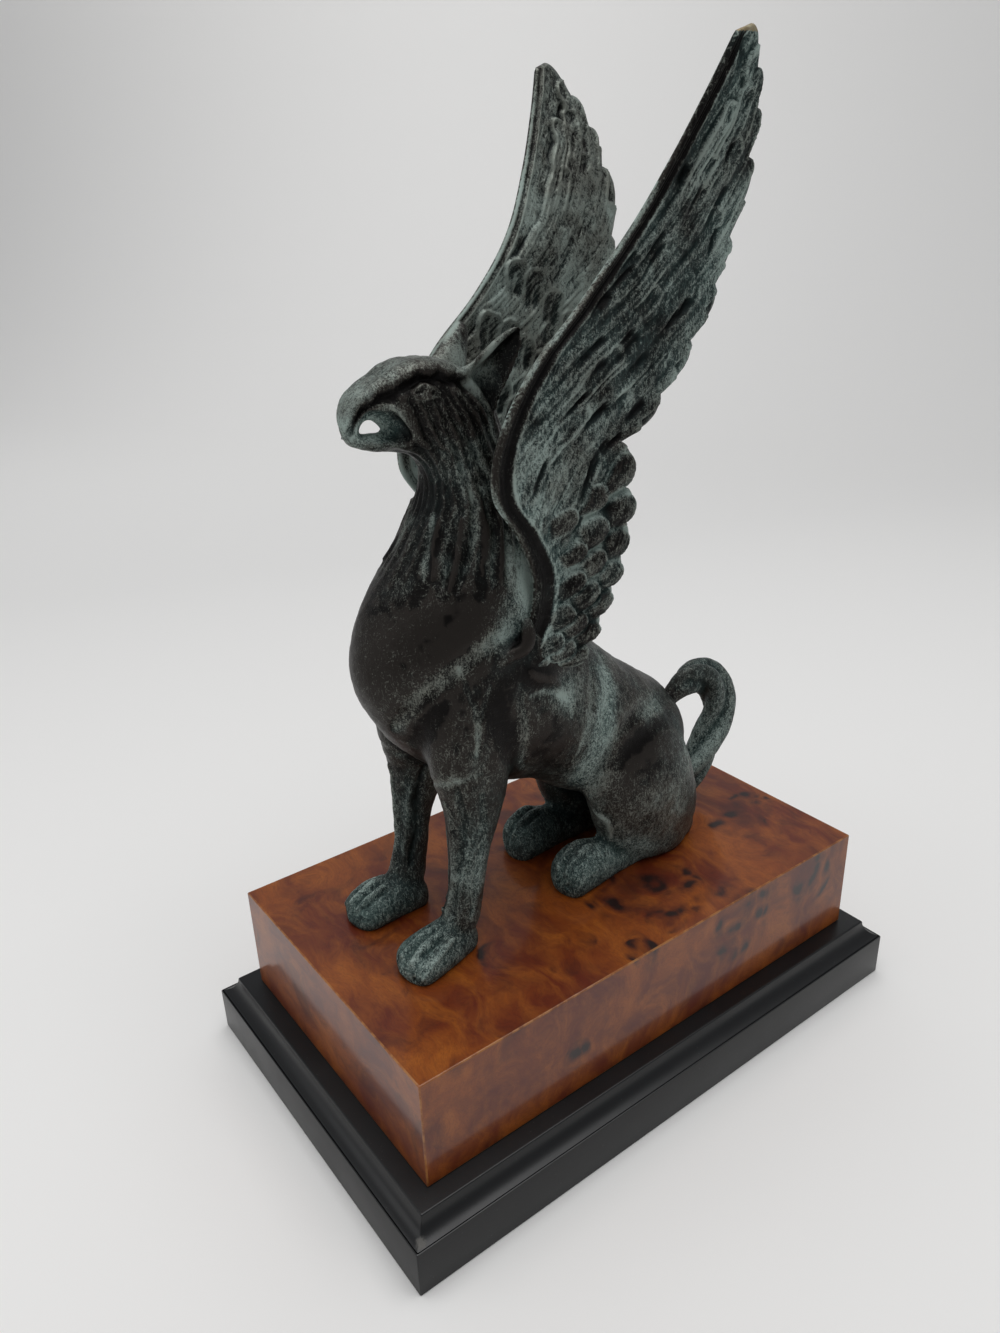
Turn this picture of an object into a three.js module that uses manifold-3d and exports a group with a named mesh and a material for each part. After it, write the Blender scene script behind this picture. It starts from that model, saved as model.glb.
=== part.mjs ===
import * as THREE from 'three';
import { LoftGeometry } from 'three/addons/geometries/LoftGeometry.js';
import { mergeVertices } from 'three/addons/utils/BufferGeometryUtils.js';
import Module from 'manifold-3d';

// A seated griffin in patinated bronze, on a burl-veneered block over a black moulded base.
// Millimetres, +Z up. The origin is at the middle of the base's underside and the griffin faces -Y.

// Plinth sizes
const blockLength = 200;
const blockWidth = 117;
const blockHeight = 41;
const blockEdge = 0.8; // eased edges of the veneered block
const baseMargin = 12.3; // how far the base stands out past the block
const shelfWidth = 6.1; // flat top of the base that shows round the block
const baseHeight = 24.6;
const baseEdgeHeight = 17.8; // plain upright edge below the hollow moulding
const baseEase = 0.5; // eased top and upright edges of the base
const lipRadius = 1.2; // round lip between the hollow and the flat top
const hollowSteps = 5;

// Figure size: every number of the figure below is in millimetres on a 269 mm model
const figureHeight = 269; // soles to wing tips
const modelledHeight = 269;
const share = figureHeight / modelledHeight;

const blockTop = baseHeight + blockHeight;

const wasm = await Module();
wasm.setup();

// Turns a closed three.js geometry into a solid, with its faces pointing outwards.
function toSolid(geometry) {
  const bare = new THREE.BufferGeometry().copy(geometry);
  bare.deleteAttribute('normal');
  bare.deleteAttribute('uv');
  const merged = mergeVertices(bare, 1e-4);
  const points = merged.attributes.position.array;
  const corner = (i) => new THREE.Vector3().fromArray(points, 3 * i);
  const faces = [];
  let volume = 0;
  for (let i = 0; i < merged.index.count; i += 3) {
    const [a, b, c] = merged.index.array.slice(i, i + 3);
    if (a === b || b === c || c === a) continue;
    volume += corner(a).dot(corner(b).cross(corner(c)));
    faces.push([a, b, c]);
  }
  const outward = volume > 0 ? faces : faces.map(([a, b, c]) => [a, c, b]);
  return new wasm.Manifold(new wasm.Mesh({
    numProp: 3,
    vertProperties: Float32Array.from(points),
    triVerts: Uint32Array.from(outward.flat()),
  }));
}

function toMesh(name, solid, material) {
  const { vertProperties, triVerts } = solid.getMesh();
  const geometry = new THREE.BufferGeometry();
  geometry.setAttribute('position', new THREE.BufferAttribute(Float32Array.from(vertProperties), 3));
  geometry.setIndex(new THREE.BufferAttribute(Uint32Array.from(triVerts), 1));
  geometry.computeVertexNormals();
  const mesh = new THREE.Mesh(geometry, material);
  mesh.name = name;
  return mesh;
}

const mirrored = (geometry) => new THREE.BufferGeometry().copy(geometry).scale(-1, 1, 1);
const both = (geometry) => [toSolid(geometry), toSolid(mirrored(geometry))];
const smooth = (points) => new THREE.CatmullRomCurve3(points, false, 'catmullrom', 0.5);
const bump = (value, middle, spread) => Math.exp(-(((value - middle) / spread) ** 2));
const ramp = (value, from, to) => THREE.MathUtils.smoothstep(value, from, to);
const fraction = (value) => value - Math.floor(value);

// Skins a closed body: section(along) gives the ring of points at each share of its length.
function skin(section, steps, capped = false) {
  const sections = Array.from({ length: steps + 1 }, (_, i) => section(i / steps));
  return new LoftGeometry(sections, { capStart: capped, capEnd: capped });
}

const ringOf = (sides, point) => Array.from({ length: sides }, (_, i) => point((2 * Math.PI * i) / sides));

// A body through slices. A slice is [front y, front z, back y, back z, half width, middle x]; a slice of
// no width closes an end. swell(along, angle) raises or carves the surface and is 1 for none; the angle
// is 0 at the front of the slice and half a turn at its back.
function sliced(slices, steps, sides, swell = () => 1) {
  const front = smooth(slices.map(([y, z, , , , x]) => new THREE.Vector3(x, y, z)));
  const back = smooth(slices.map(([, , y, z, , x]) => new THREE.Vector3(x, y, z)));
  const width = smooth(slices.map(([, , , , w], i) => new THREE.Vector3(w, i, 0)));
  return skin((along) => {
    const a = front.getPoint(along);
    const b = back.getPoint(along);
    const middle = a.clone().lerp(b, 0.5);
    const reach = a.clone().sub(middle);
    const halfWidth = Math.max(width.getPoint(along).x, 0);
    return ringOf(sides, (angle) => {
      const size = swell(along, angle);
      const point = middle.clone().addScaledVector(reach, size * Math.cos(angle));
      point.x += halfWidth * size * Math.sin(angle);
      return point;
    });
  }, steps);
}

// Body, neck and head: one skin from the rump, up the chest and neck, to the tip of the beak
const bodySlices = [
  [56, 38, 56, 38, 0, 0],
  [45, 22, 56, 50, 14, 0],
  [32, 14, 49, 61.5, 20, 0],
  [14, 26, 36.8, 71.3, 22.5, 0],
  [-4, 37, 22.8, 81.8, 23.5, 0],
  [-18, 46.5, 9.2, 94, 24.5, 0],
  [-34, 52, -2.6, 106, 26, 0],
  [-51.5, 61, -8.6, 117, 26.5, 0],
  [-67.4, 77.5, -12, 127.5, 26, 0],
  [-76.2, 96, -14.5, 137.5, 24.3, 0],
  [-73.4, 113, -17, 147, 20.4, 0],
  [-62.8, 127.5, -19.5, 156.5, 16.2, 0],
  [-54.2, 139.5, -22, 166, 13.6, 0],
  [-48.4, 149.5, -25, 175.5, 12, 0],
  [-47.8, 158, -31, 184, 11.5, 0],
  [-52.2, 164.4, -38, 188.6, 11.2, 0],
  [-57.8, 166.4, -46.5, 191.2, 10.7, 0],
  [-61.5, 167, -55.5, 190.6, 9.8, 0],
  [-65.5, 167.6, -61.5, 187.9, 8.2, 0],
  [-69, 168.6, -67, 185.4, 6.3, 0],
  [-72.2, 170.6, -71.6, 182.2, 4.1, 0],
  [-74.4, 176, -74.4, 176, 0, 0],
];
const bodyStepsAlong = 38;
const bodyStepsAround = 30;
const maneLocks = 15; // locks round the neck
const maneDepth = 0.045;
const cheekDepth = 0.1; // hollow cheek under the smooth cap of the head
const browHeight = 0.065;

function bodySwell(along, angle) {
  const fromFront = Math.abs(angle > Math.PI ? angle - 2 * Math.PI : angle);
  const mane = ramp(along, 0.47, 0.52) * (1 - ramp(along, 0.66, 0.72)) * ramp(fromFront, 0.5, 0.9);
  const locks = maneDepth * mane * Math.cos(maneLocks * angle);
  const beyond = 1 - ramp(along, 0.92, 0.98);
  const cheek = cheekDepth * ramp(along, 0.66, 0.76) * beyond * bump(fromFront, 1.5, 0.5);
  const brow = browHeight * ramp(along, 0.56, 0.68) * beyond * bump(fromFront, 2.3, 0.4);
  return 1 + locks - cheek + brow;
}

// Limbs of the left side; the right side mirrors them
const frontLegSlices = [
  [-50, 112, -50, 112, 0, 18],
  [-59, 100, -42, 101, 5.4, 17.8],
  [-62.6, 85, -35, 84, 8.6, 16.8],
  [-62, 70, -34, 64, 10.3, 15.4],
  [-58.4, 54, -38.6, 49, 7.9, 16.3],
  [-57.8, 38, -44, 35.5, 5.4, 17],
  [-59.4, 23, -46.6, 21, 5, 17],
  [-62.6, 12.5, -49.5, 9.5, 5.4, 16.6],
  [-57, 3, -57, 3, 0, 16.4],
];
const frontPawSlices = [
  [-48.5, 4, -48.5, 4, 0, 15],
  [-51.5, 9, -51.5, -2, 5.2, 15.2],
  [-57, 12.5, -57, -3, 7, 15.8],
  [-64, 13.2, -64, -3, 8.4, 16.6],
  [-71, 11.6, -71, -3, 9.2, 17.2],
  [-76.6, 8.2, -76.6, -2.5, 8, 17.4],
  [-80.4, 2.5, -80.4, 2.5, 0, 17.2],
];
const haunchSlices = [
  [28, 62, 28, 62, 0, 13],
  [6, 56, 41, 55, 9.5, 14],
  [0, 45, 48.5, 43, 12, 15],
  [3, 33, 52.8, 30, 12.6, 15.6],
  [7, 20, 55.8, 17, 11.8, 15.4],
  [13, 9, 55.5, 8, 10, 14.8],
  [24, 1, 50, 0, 8, 14.2],
  [38, -3, 38, -3, 0, 14],
];
const hindFootSlices = [
  [57, 6, 57, 6, 0, 13.5],
  [54, 13, 54, -2, 5, 13.5],
  [44, 14, 44, -3, 6, 14],
  [28, 12.5, 28, -3, 6, 14],
  [14, 13, 14, -3, 6.3, 14.2],
  [4, 16, 4, -3, 7.7, 14.6],
  [-3, 16.8, -3, -3, 8.5, 14.8],
  [-8.8, 12.6, -8.8, -3, 7.6, 14.8],
  [-12.6, 4, -12.6, 4, 0, 14.6],
];
const toeDepth = 0.1;
const toeSwell = (from) => (along, angle) => {
  const toes = toeDepth * ramp(along, from, from + 0.15) * (1 - Math.abs(Math.sin(4 * (angle + Math.PI / 2))));
  return 1 - (Math.cos(angle) > -0.2 ? toes : 0);
};

// Pad of muscle that each wing grows out of
function wingShoulder() {
  return new THREE.SphereGeometry(1, 10, 6).scale(8, 20, 17).rotateX(-0.5).translate(19, -30, 98);
}

// Ears stand back and out from the head, hollow on their outer face
const earBase = new THREE.Vector3(7, -36.5, 176.5);
const earTip = new THREE.Vector3(14.4, -22.4, 196.8);
const earHalfWidth = 9.6;
const earThickness = 3.6;
function ear() {
  const rise = earTip.clone().sub(earBase);
  const across = new THREE.Vector3(0, 0.65, -0.76);
  const outward = new THREE.Vector3().crossVectors(across, rise).normalize();
  if (outward.x < 0) outward.negate();
  return skin((along) => {
    const open = along === 0 || along === 1 ? 0 : 1;
    const halfWidth = open * earHalfWidth * (1 - along) ** 0.6;
    const thickness = open * earThickness * (1 - 0.7 * along);
    return ringOf(8, (angle) => {
      const scooped = Math.sin(angle) > 0 ? 0.25 : 1;
      return earBase.clone().addScaledVector(rise, along)
        .addScaledVector(across, halfWidth * Math.cos(angle))
        .addScaledVector(outward, scooped * thickness * Math.sin(angle));
    });
  }, 5);
}

// Two small lobes hang under the jaw
function jowl() {
  return new THREE.SphereGeometry(1, 8, 6).scale(2.8, 3.2, 5.8).rotateX(0.35).translate(5, -40.8, 161);
}

// The open beak: a hollow in each cheek, the two meeting in a small hole right through the middle,
// with the upper beak hooked down before it
const mouthHollow = [
  [-57.5, 168.9], [-66, 169.4], [-72, 170.7], [-72.9, 173], [-71.3, 176.4], [-67.3, 179], [-61.5, 178.2],
  [-57, 174.6], [-55.2, 170.6],
].map(([y, z]) => new THREE.Vector3(0, y, z));
const mouthMiddle = new THREE.Vector3(0, -66, 174);
const mouthHoleShare = 0.42; // size of the hole on the midplane, to the hollow in the cheek
const cheekX = 9;
function mouth() {
  const section = (x, size) => mouthHollow.map((point) => {
    const moved = mouthMiddle.clone().lerp(point, size);
    moved.x = x;
    return moved;
  });
  const sections = [section(cheekX, 1.05), section(0, mouthHoleShare), section(-cheekX, 1.05)];
  return new LoftGeometry(sections, { capStart: true, capEnd: true });
}

// Tail: a thin root, then a thick twisted tuft that loops up, back and down to the block
const tailLine = smooth([
  [48, 46], [57.5, 53], [64.5, 57.5], [72, 58.2], [79.6, 54.6], [85.2, 46.6], [86.4, 37], [83.2, 27], [76.5, 17],
  [67, 9.5], [55, 6],
].map(([y, z]) => new THREE.Vector3(0, y, z)));
const tailRadii = smooth([3.5, 4, 5.6, 6.8, 7.4, 7.3, 7, 7.2, 6.4, 5.2, 3.5].map((r, i) => new THREE.Vector3(r, i, 0)));
const tailStrands = 3;
const strandDepth = 0.09;
const tailTwist = 1.6; // turns of the strands from root to end
const tailFlatness = 0.85; // its width across, to its thickness
function tail() {
  return skin((along) => {
    const tangent = tailLine.getTangent(along);
    const aside = new THREE.Vector3(0, -tangent.z, tangent.y);
    const open = along === 0 || along === 1 ? 0 : 1;
    return ringOf(10, (angle) => {
      const strand = Math.cos(tailStrands * angle + 2 * Math.PI * tailTwist * along);
      const radius = open * tailRadii.getPoint(along).x * (1 + strandDepth * strand * ramp(along, 0.1, 0.25));
      const point = tailLine.getPoint(along).addScaledVector(aside, radius * Math.cos(angle));
      point.x += tailFlatness * radius * Math.sin(angle);
      return point;
    });
  }, 20);
}

// Wings: [y, z] outlines of the left wing. The leading edge is one smooth line; the trailing edge is
// given by the notches between its feathers, and each feather tip is a lobe between two notches.
const leadingEdge = smooth([
  [-42.5, 101.5], [-36.5, 104.5], [-30, 114], [-28, 127], [-33.5, 141], [-41.8, 154.5], [-39.2, 170],
  [-27.5, 187.5], [-10, 203.5], [5.4, 221], [15.8, 238.5], [23.4, 254.5], [29, 268.8],
].map(([y, z]) => new THREE.Vector3(0, y, z)));
const trailingNotches = [
  [-14, 95], [-7.5, 102], [-3, 111], [2.5, 119], [5.6, 128], [7.8, 138], [8.8, 148.4], [5, 163],
  [21.8, 175], [34, 189.5], [43.2, 204.5], [47.4, 217.5], [47.8, 239], [45.2, 250.8], [40.6, 259.8], [32.4, 269.4],
];
const coverLobes = 7; // short round feathers, below the deepest notch
const lobeBulge = { short: 0.36, long: 0.1 }; // how far a lobe stands out, as a share of its length
const lobeBulgeMost = 3.3;
const wingStepsPerLobe = 3;
const wingStepsAcross = 11;
const wingX = 24.3; // middle of the plate, left of the midplane
const wingBend = { height: 214, softness: 9 }; // the upper wing leans outwards from about this height
const wingFlare = { lead: 0.31, trail: 0.2, trailCurl: 0.0022 };
const wingPlate = 3; // thickness of the plate between its feathers
const rollThickness = { root: 7, tip: 3.4 }; // rounded leading edge
const featherStep = 1.5; // how far a feather stands over the next one
const coverRows = 4;
const quillSpacing = 8;
const quillSlant = 0.87; // the quills run up the wing at this share of the chord
const trailingTaper = 6; // how soon the plate thins at its trailing edge
const wingSpread = 1.35; // closer lines near the leading edge

function wingOut(across, z) {
  const over = z - wingBend.height;
  const above = (over + Math.hypot(over, wingBend.softness)) / 2;
  const trail = wingFlare.trail * above + wingFlare.trailCurl * above * above;
  return wingX + THREE.MathUtils.lerp(wingFlare.lead * above, trail, across);
}

function trailingPoint(lobes) {
  const last = trailingNotches.length - 2;
  const index = Math.min(Math.floor(lobes + 1e-6), last);
  const t = THREE.MathUtils.clamp(lobes - index, 0, 1);
  const [y0, z0] = trailingNotches[index];
  const [y1, z1] = trailingNotches[index + 1];
  const length = Math.hypot(y1 - y0, z1 - z0);
  const most = Math.min(index < coverLobes ? lobeBulge.short : lobeBulge.long, lobeBulgeMost / length);
  const bulge = most * Math.sqrt(Math.sin(Math.PI * t));
  return new THREE.Vector3(0, y0 + (y1 - y0) * t + (z1 - z0) * bulge, z0 + (z1 - z0) * t - (y1 - y0) * bulge);
}

// Height of the feather relief over the plate, at a share of the way across and a place along the lobes
function featherRelief(across, lobes, fromLeading) {
  const row = (across - 0.22) / (0.78 / coverRows);
  const stagger = 0.5 * (Math.floor(row) % 2);
  const scale = Math.sqrt(Math.abs(Math.sin(Math.PI * fraction(lobes + stagger))));
  const covers = row > 0 ? featherStep * fraction(Math.min(row, coverRows - 0.01)) * scale : 0;
  const quill = fraction(fromLeading / quillSpacing - 0.75);
  const quills = across > 0.2 ? featherStep * (0.85 - quill) : 0.2;
  const upper = ramp(lobes, coverLobes - 1 + 2 * (1 - across), coverLobes + 1 + 2 * (1 - across));
  return THREE.MathUtils.lerp(covers, quills, upper);
}

// Half the thickness of the wing at a share of the way across its chord
function wingHalf(across, along, lobes, chord) {
  const rollHere = THREE.MathUtils.lerp(rollThickness.root, rollThickness.tip, along);
  const fromLeading = across * chord;
  const inRoll = Math.min(fromLeading / Math.min(rollHere, 0.35 * chord), 1);
  const roll = rollHere * Math.sqrt(Math.max(inRoll * (1 - inRoll), 0));
  const thinned = Math.sqrt(Math.min(((1 - across) * chord) / trailingTaper, 1));
  const relief = featherRelief(across, lobes, quillSlant * fromLeading);
  return Math.max(roll, (wingPlate / 2 + relief) * thinned * ramp(inRoll, 0.6, 1));
}

function wing() {
  const lobeCount = trailingNotches.length - 1;
  const steps = wingStepsPerLobe * lobeCount;
  return skin((along) => {
    const lobes = lobeCount * along;
    const lead = leadingEdge.getPoint(along);
    const trail = trailingPoint(lobes);
    const chord = lead.distanceTo(trail);
    const spot = (step) => {
      const across = (Math.min(step, 2 * wingStepsAcross - step) / wingStepsAcross) ** wingSpread;
      const point = lead.clone().lerp(trail, across);
      const side = step % wingStepsAcross === 0 ? 0 : Math.sign(wingStepsAcross - step);
      point.x = wingOut(across, point.z) + side * wingHalf(across, along, lobes, chord);
      return point;
    };
    return Array.from({ length: 2 * wingStepsAcross }, (_, step) => spot(step));
  }, steps, true);
}

// Joins the whole casting and cuts its soles flat
function griffinSolid() {
  const pieces = [
    toSolid(sliced(bodySlices, bodyStepsAlong, bodyStepsAround, bodySwell)),
    ...both(sliced(frontLegSlices, 12, 10)),
    ...both(sliced(frontPawSlices, 9, 16, toeSwell(0.45))),
    ...both(sliced(haunchSlices, 9, 14)),
    ...both(sliced(hindFootSlices, 11, 16, toeSwell(0.6))),
    ...both(wingShoulder()),
    ...both(ear()),
    ...both(jowl()),
    ...both(wing()),
    toSolid(tail()),
  ];
  const joined = pieces.reduce((all, piece) => all.add(piece));
  const below = toSolid(new THREE.BoxGeometry(200, 200, 40).translate(0, 0, -20));
  return joined.subtract(toSolid(mouth())).subtract(below).scale([share, share, share]);
}

// A rectangular block whose sides follow a profile of [inset, height] points, its corners eased
function mouldedBlock(length, width, profile, corner) {
  const sections = profile.map(([inset, z]) => {
    const x = width / 2 - inset;
    const y = length / 2 - inset;
    const ring = [
      [x, -y + corner], [x, y - corner], [x - corner, y], [-x + corner, y],
      [-x, y - corner], [-x, -y + corner], [-x + corner, -y], [x - corner, -y],
    ];
    return ring.map(([px, py]) => new THREE.Vector3(px, py, z));
  });
  return toSolid(new LoftGeometry(sections, { capStart: true, capEnd: true }));
}

function blockSolid() {
  const profile = [
    [blockEdge, baseHeight], [0, baseHeight + blockEdge], [0, blockTop - blockEdge], [blockEdge, blockTop],
  ];
  return mouldedBlock(blockLength, blockWidth, profile, blockEdge);
}

// The base's upright edge, then a hollow quarter moulding up to the round lip of its flat top
function baseSolid() {
  const hollowWidth = baseMargin - shelfWidth - baseEase - lipRadius;
  const hollowHeight = baseHeight - baseEdgeHeight - lipRadius;
  const profile = [[0, 0], [0, baseEdgeHeight - baseEase]];
  for (let step = 0; step <= hollowSteps; step += 1) {
    const turn = (Math.PI / 2) * (step / hollowSteps);
    profile.push([
      baseEase + hollowWidth * Math.sin(turn),
      baseEdgeHeight + hollowHeight * (1 - Math.cos(turn)),
    ]);
  }
  const lipInset = baseEase + hollowWidth;
  profile.push([lipInset + 0.3 * lipRadius, baseHeight - 0.3 * lipRadius], [lipInset + lipRadius, baseHeight]);
  return mouldedBlock(blockLength + 2 * baseMargin, blockWidth + 2 * baseMargin, profile, baseEase);
}

const bronze = new THREE.MeshStandardMaterial({ color: 0x3d4a48, roughness: 0.5, metalness: 0.85 });
const burl = new THREE.MeshStandardMaterial({ color: 0x96501f, roughness: 0.35, metalness: 0 });
const blackLacquer = new THREE.MeshStandardMaterial({ color: 0x161616, roughness: 0.4, metalness: 0 });

const griffin = toMesh('griffin', griffinSolid(), bronze);
griffin.position.z = blockTop;

const statue = new THREE.Group();
statue.add(griffin);
statue.add(toMesh('burl_block', blockSolid(), burl));
statue.add(toMesh('black_base', baseSolid(), blackLacquer));

export default statue;
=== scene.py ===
import math
import bmesh
import bpy
import numpy as np
from mathutils import Matrix, Vector, kdtree


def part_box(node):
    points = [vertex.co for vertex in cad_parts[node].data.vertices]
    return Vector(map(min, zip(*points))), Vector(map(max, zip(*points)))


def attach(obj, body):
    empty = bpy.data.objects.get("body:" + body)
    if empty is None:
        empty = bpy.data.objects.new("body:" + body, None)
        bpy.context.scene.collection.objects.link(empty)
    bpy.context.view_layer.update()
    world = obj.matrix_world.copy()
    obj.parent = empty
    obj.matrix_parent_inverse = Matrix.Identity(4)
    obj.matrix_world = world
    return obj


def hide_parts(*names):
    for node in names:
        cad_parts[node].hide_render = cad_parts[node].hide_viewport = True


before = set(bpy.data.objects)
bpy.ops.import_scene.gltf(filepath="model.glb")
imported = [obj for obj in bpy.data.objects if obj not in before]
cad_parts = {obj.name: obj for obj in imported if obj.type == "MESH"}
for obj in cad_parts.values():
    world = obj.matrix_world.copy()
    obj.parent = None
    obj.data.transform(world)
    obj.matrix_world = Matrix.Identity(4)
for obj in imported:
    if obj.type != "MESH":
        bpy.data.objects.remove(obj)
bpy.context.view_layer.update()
mm = 0.001
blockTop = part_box("burl_block")[1].z
print("frame loaded")


# Camera, floor and light

view = {
    "place": (0.24924, -0.20537, 0.29481),
    "right": (0.60106989, 0.79855646, -0.03197768),
    "down": (0.3130708, -0.27208421, -0.90992135),
    "forward": (-0.73532419, 0.53691504, -0.41354634),
    "lens": 27.593, "sensor": 36, "nearest": 0.01,
}


def linkNew(name, data):
    obj = bpy.data.objects.new(name, data)
    bpy.context.scene.collection.objects.link(obj)
    return obj


def addCamera():
    data = bpy.data.cameras.new("camera")
    data.sensor_width, data.lens, data.clip_start = view["sensor"], view["lens"], view["nearest"]
    camera = linkNew("camera", data)
    axes = Matrix((view["right"], [-v for v in view["down"]], [-v for v in view["forward"]])).transposed()
    camera.matrix_world = Matrix.Translation(view["place"]) @ axes.to_4x4()
    bpy.context.scene.camera = camera


def linear(colour):
    parts = [int(colour[i:i + 2], 16) / 255 for i in (1, 3, 5)]
    return tuple(c / 12.92 if c <= 0.04045 else ((c + 0.055) / 1.055) ** 2.4 for c in parts) + (1,)


# Adds one node: inputs are numbers, hex colours or other nodes' outputs; settings are the node's own values
def addNode(tree, kind, inputs=None, **settings):
    node = tree.nodes.new("ShaderNode" + kind)
    for name, value in settings.items():
        setattr(node, name, value)
    for name, value in (inputs or {}).items():
        if isinstance(value, bpy.types.NodeSocket):
            tree.links.new(value, node.inputs[name])
        else:
            node.inputs[name].default_value = linear(value) if isinstance(value, str) else value
    return node


# A new material's node tree, with short names for the nodes that it is built from
class Nodes:
    def __init__(self, name):
        self.material = bpy.data.materials.new(name)
        self.material.use_nodes = True
        self.tree = self.material.node_tree
        self.tree.nodes.clear()
        self.place = addNode(self.tree, "TexCoord").outputs["Object"]

    def attribute(self, name):
        return addNode(self.tree, "Attribute", attribute_name=name).outputs["Fac"]

    # Noise with lumps of a size in millimetres
    def noise(self, size, detail=3, rough=0.6, stretch=(1, 1, 1), distortion=0, place=None):
        scale = [1 / (size * mm * s) for s in stretch]
        mapped = addNode(self.tree, "Mapping", {"Vector": place or self.place, "Scale": scale}).outputs[0]
        return addNode(self.tree, "TexNoise", {
            "Vector": mapped, "Scale": 1, "Detail": detail, "Roughness": rough, "Distortion": distortion,
        }).outputs["Fac"]

    def maths(self, operation, *values):
        return addNode(self.tree, "Math", dict(enumerate(values)), operation=operation).outputs[0]

    def times(self, a, b):
        return self.maths("MULTIPLY", a, b)

    # The sum of values, each with its weight
    def total(self, *pairs):
        result = 0
        for value, weight in pairs:
            result = self.maths("MULTIPLY_ADD", value, weight, result)
        return result

    def within(self, value, low, high, start=0, end=1):
        span = {"Value": value, "From Min": low, "From Max": high, "To Min": start, "To Max": end}
        return addNode(self.tree, "MapRange", span, interpolation_type="SMOOTHSTEP").outputs[0]

    def blend(self, share, a, b):
        return addNode(self.tree, "Mix", {0: share, 6: a, 7: b}, data_type="RGBA").outputs[2]

    # Distance from a point in metres
    def away(self, point):
        apart = addNode(self.tree, "VectorMath", {0: self.place, 1: point}, operation="DISTANCE")
        return apart.outputs["Value"]

    def bump(self, height, depth, strength=1):
        raised = {"Height": height, "Distance": depth * mm, "Strength": strength}
        return addNode(self.tree, "Bump", raised).outputs[0]

    def finished(self, inputs):
        shader = addNode(self.tree, "BsdfPrincipled", inputs)
        addNode(self.tree, "OutputMaterial", {"Surface": shader.outputs[0]})
        return self.material


# Hands over what a bmesh holds as a mesh
def meshFrom(bm, name):
    mesh = bpy.data.meshes.new(name)
    bm.to_mesh(mesh)
    bm.free()
    return mesh


studio = {
    "floor": "#f3f2f0", "floorRoughness": 0.9, "halfWidth": 4, "halfLength": 2.2, "turn": 36,
    "flat": 0.9, "sweepRadius": 0.8, "wallStretch": 1.5,
    "world": "#f2f4f8", "worldStrength": 0.3,
    "lamps": [  # place, aim, width and height in metres, power in watts
        ((0.1, 0.0, 1.4), (0, 0, 0.1), 1.3, 1.3, 14.0),
        ((-0.35, -1.0, 0.5), (0, 0, 0.12), 0.8, 0.5, 1.15),
        ((-0.9, 0.15, 1.1), (-1.9, 0.55, 0.8), 0.9, 0.7, 4.2),
    ],
}


# A paper sweep: flat below, curving up behind
def addFloor():
    bm = bmesh.new()
    bmesh.ops.create_grid(bm, x_segments=2, y_segments=40, size=1)
    flat, radius = studio["flat"], studio["sweepRadius"]
    for v in bm.verts:
        along = v.co.y * studio["halfLength"]
        rise = max(along - flat, 0)
        turn = min(rise / radius, math.pi / 2)
        height = radius * (1 - math.cos(turn)) + studio["wallStretch"] * max(rise - radius * math.pi / 2, 0)
        v.co = Vector((v.co.x * studio["halfWidth"], min(along, flat + radius * math.sin(turn)), height))
    turned = Matrix.Rotation(math.radians(studio["turn"]), 3, "Z")
    bmesh.ops.rotate(bm, cent=(0, 0, 0), matrix=turned, verts=bm.verts)
    mesh = meshFrom(bm, "floor")
    mesh.shade_smooth()
    paper = Nodes("matt_paper_sweep")
    looks = {"Base Color": studio["floor"], "Roughness": studio["floorRoughness"]}
    mesh.materials.append(paper.finished(looks))
    linkNew("floor", mesh)


def addLight():
    world = bpy.data.worlds.new("studio")
    world.use_nodes = True
    background = world.node_tree.nodes["Background"]
    background.inputs["Color"].default_value = linear(studio["world"])
    background.inputs["Strength"].default_value = studio["worldStrength"]
    bpy.context.scene.world = world
    for i, (place, aim, width, height, power) in enumerate(studio["lamps"]):
        data = bpy.data.lights.new(f"soft_light_{i}", "AREA")
        data.shape = "RECTANGLE"
        data.size, data.size_y, data.energy = width, height, power
        lamp = linkNew(data.name, data)
        lamp.location = place
        lamp.rotation_euler = (Vector(aim) - Vector(place)).to_track_quat("-Z", "Y").to_euler()


addCamera()
addFloor()
addLight()
bpy.context.scene.view_settings.view_transform = "Standard"  # keeps the darks of the bronze dark
print("camera, floor and light made")


# Shaping tools; the figure is modelled in millimetres above the block's top

def unit(value):
    return np.clip(value, 0, 1)


def lengths(vectors):
    return np.linalg.norm(vectors, axis=1)


# Points on a smooth curve through the given ones, at shares of its length
def alongCurve(points, shares):
    p = np.asarray(points, float)
    last = len(p) - 1
    spot = unit(shares) * last
    i = np.minimum(spot.astype(int), last - 1)
    t = (spot - i)[:, None]
    padded = np.vstack([2 * p[0] - p[1], p, 2 * p[-1] - p[-2]])
    a, b, c, d = (padded[i + k] for k in range(4))
    return b + 0.5 * t * (c - a + t * (2 * a - 5 * b + 4 * c - d + t * (3 * (b - c) + d - a)))


def ramp(value, low, high):
    t = unit((value - low) / (high - low))
    return t * t * (3 - 2 * t)


def bump(value, middle, spread):
    return np.exp(-((value - middle) / spread) ** 2)


# A closed form from a grid rolled up: place(along, angle) says where each of its points goes
def rolledForm(bm, steps, sides, place, side=1):
    made = bmesh.ops.create_grid(bm, x_segments=steps, y_segments=sides, size=0.5)["verts"]
    at = np.array([v.co for v in made]) + 0.5
    for v, co in zip(made, place(unit(at[:, 0]), 2 * math.pi * at[:, 1] - math.pi) * (side, 1, 1)):
        v.co = co


# Welds the seams of what a bmesh holds and hands it over as a mesh
def closedMesh(bm):
    bmesh.ops.remove_doubles(bm, verts=bm.verts, dist=0.002)
    bmesh.ops.recalc_face_normals(bm, faces=bm.faces)
    return meshFrom(bm, "form")


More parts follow.
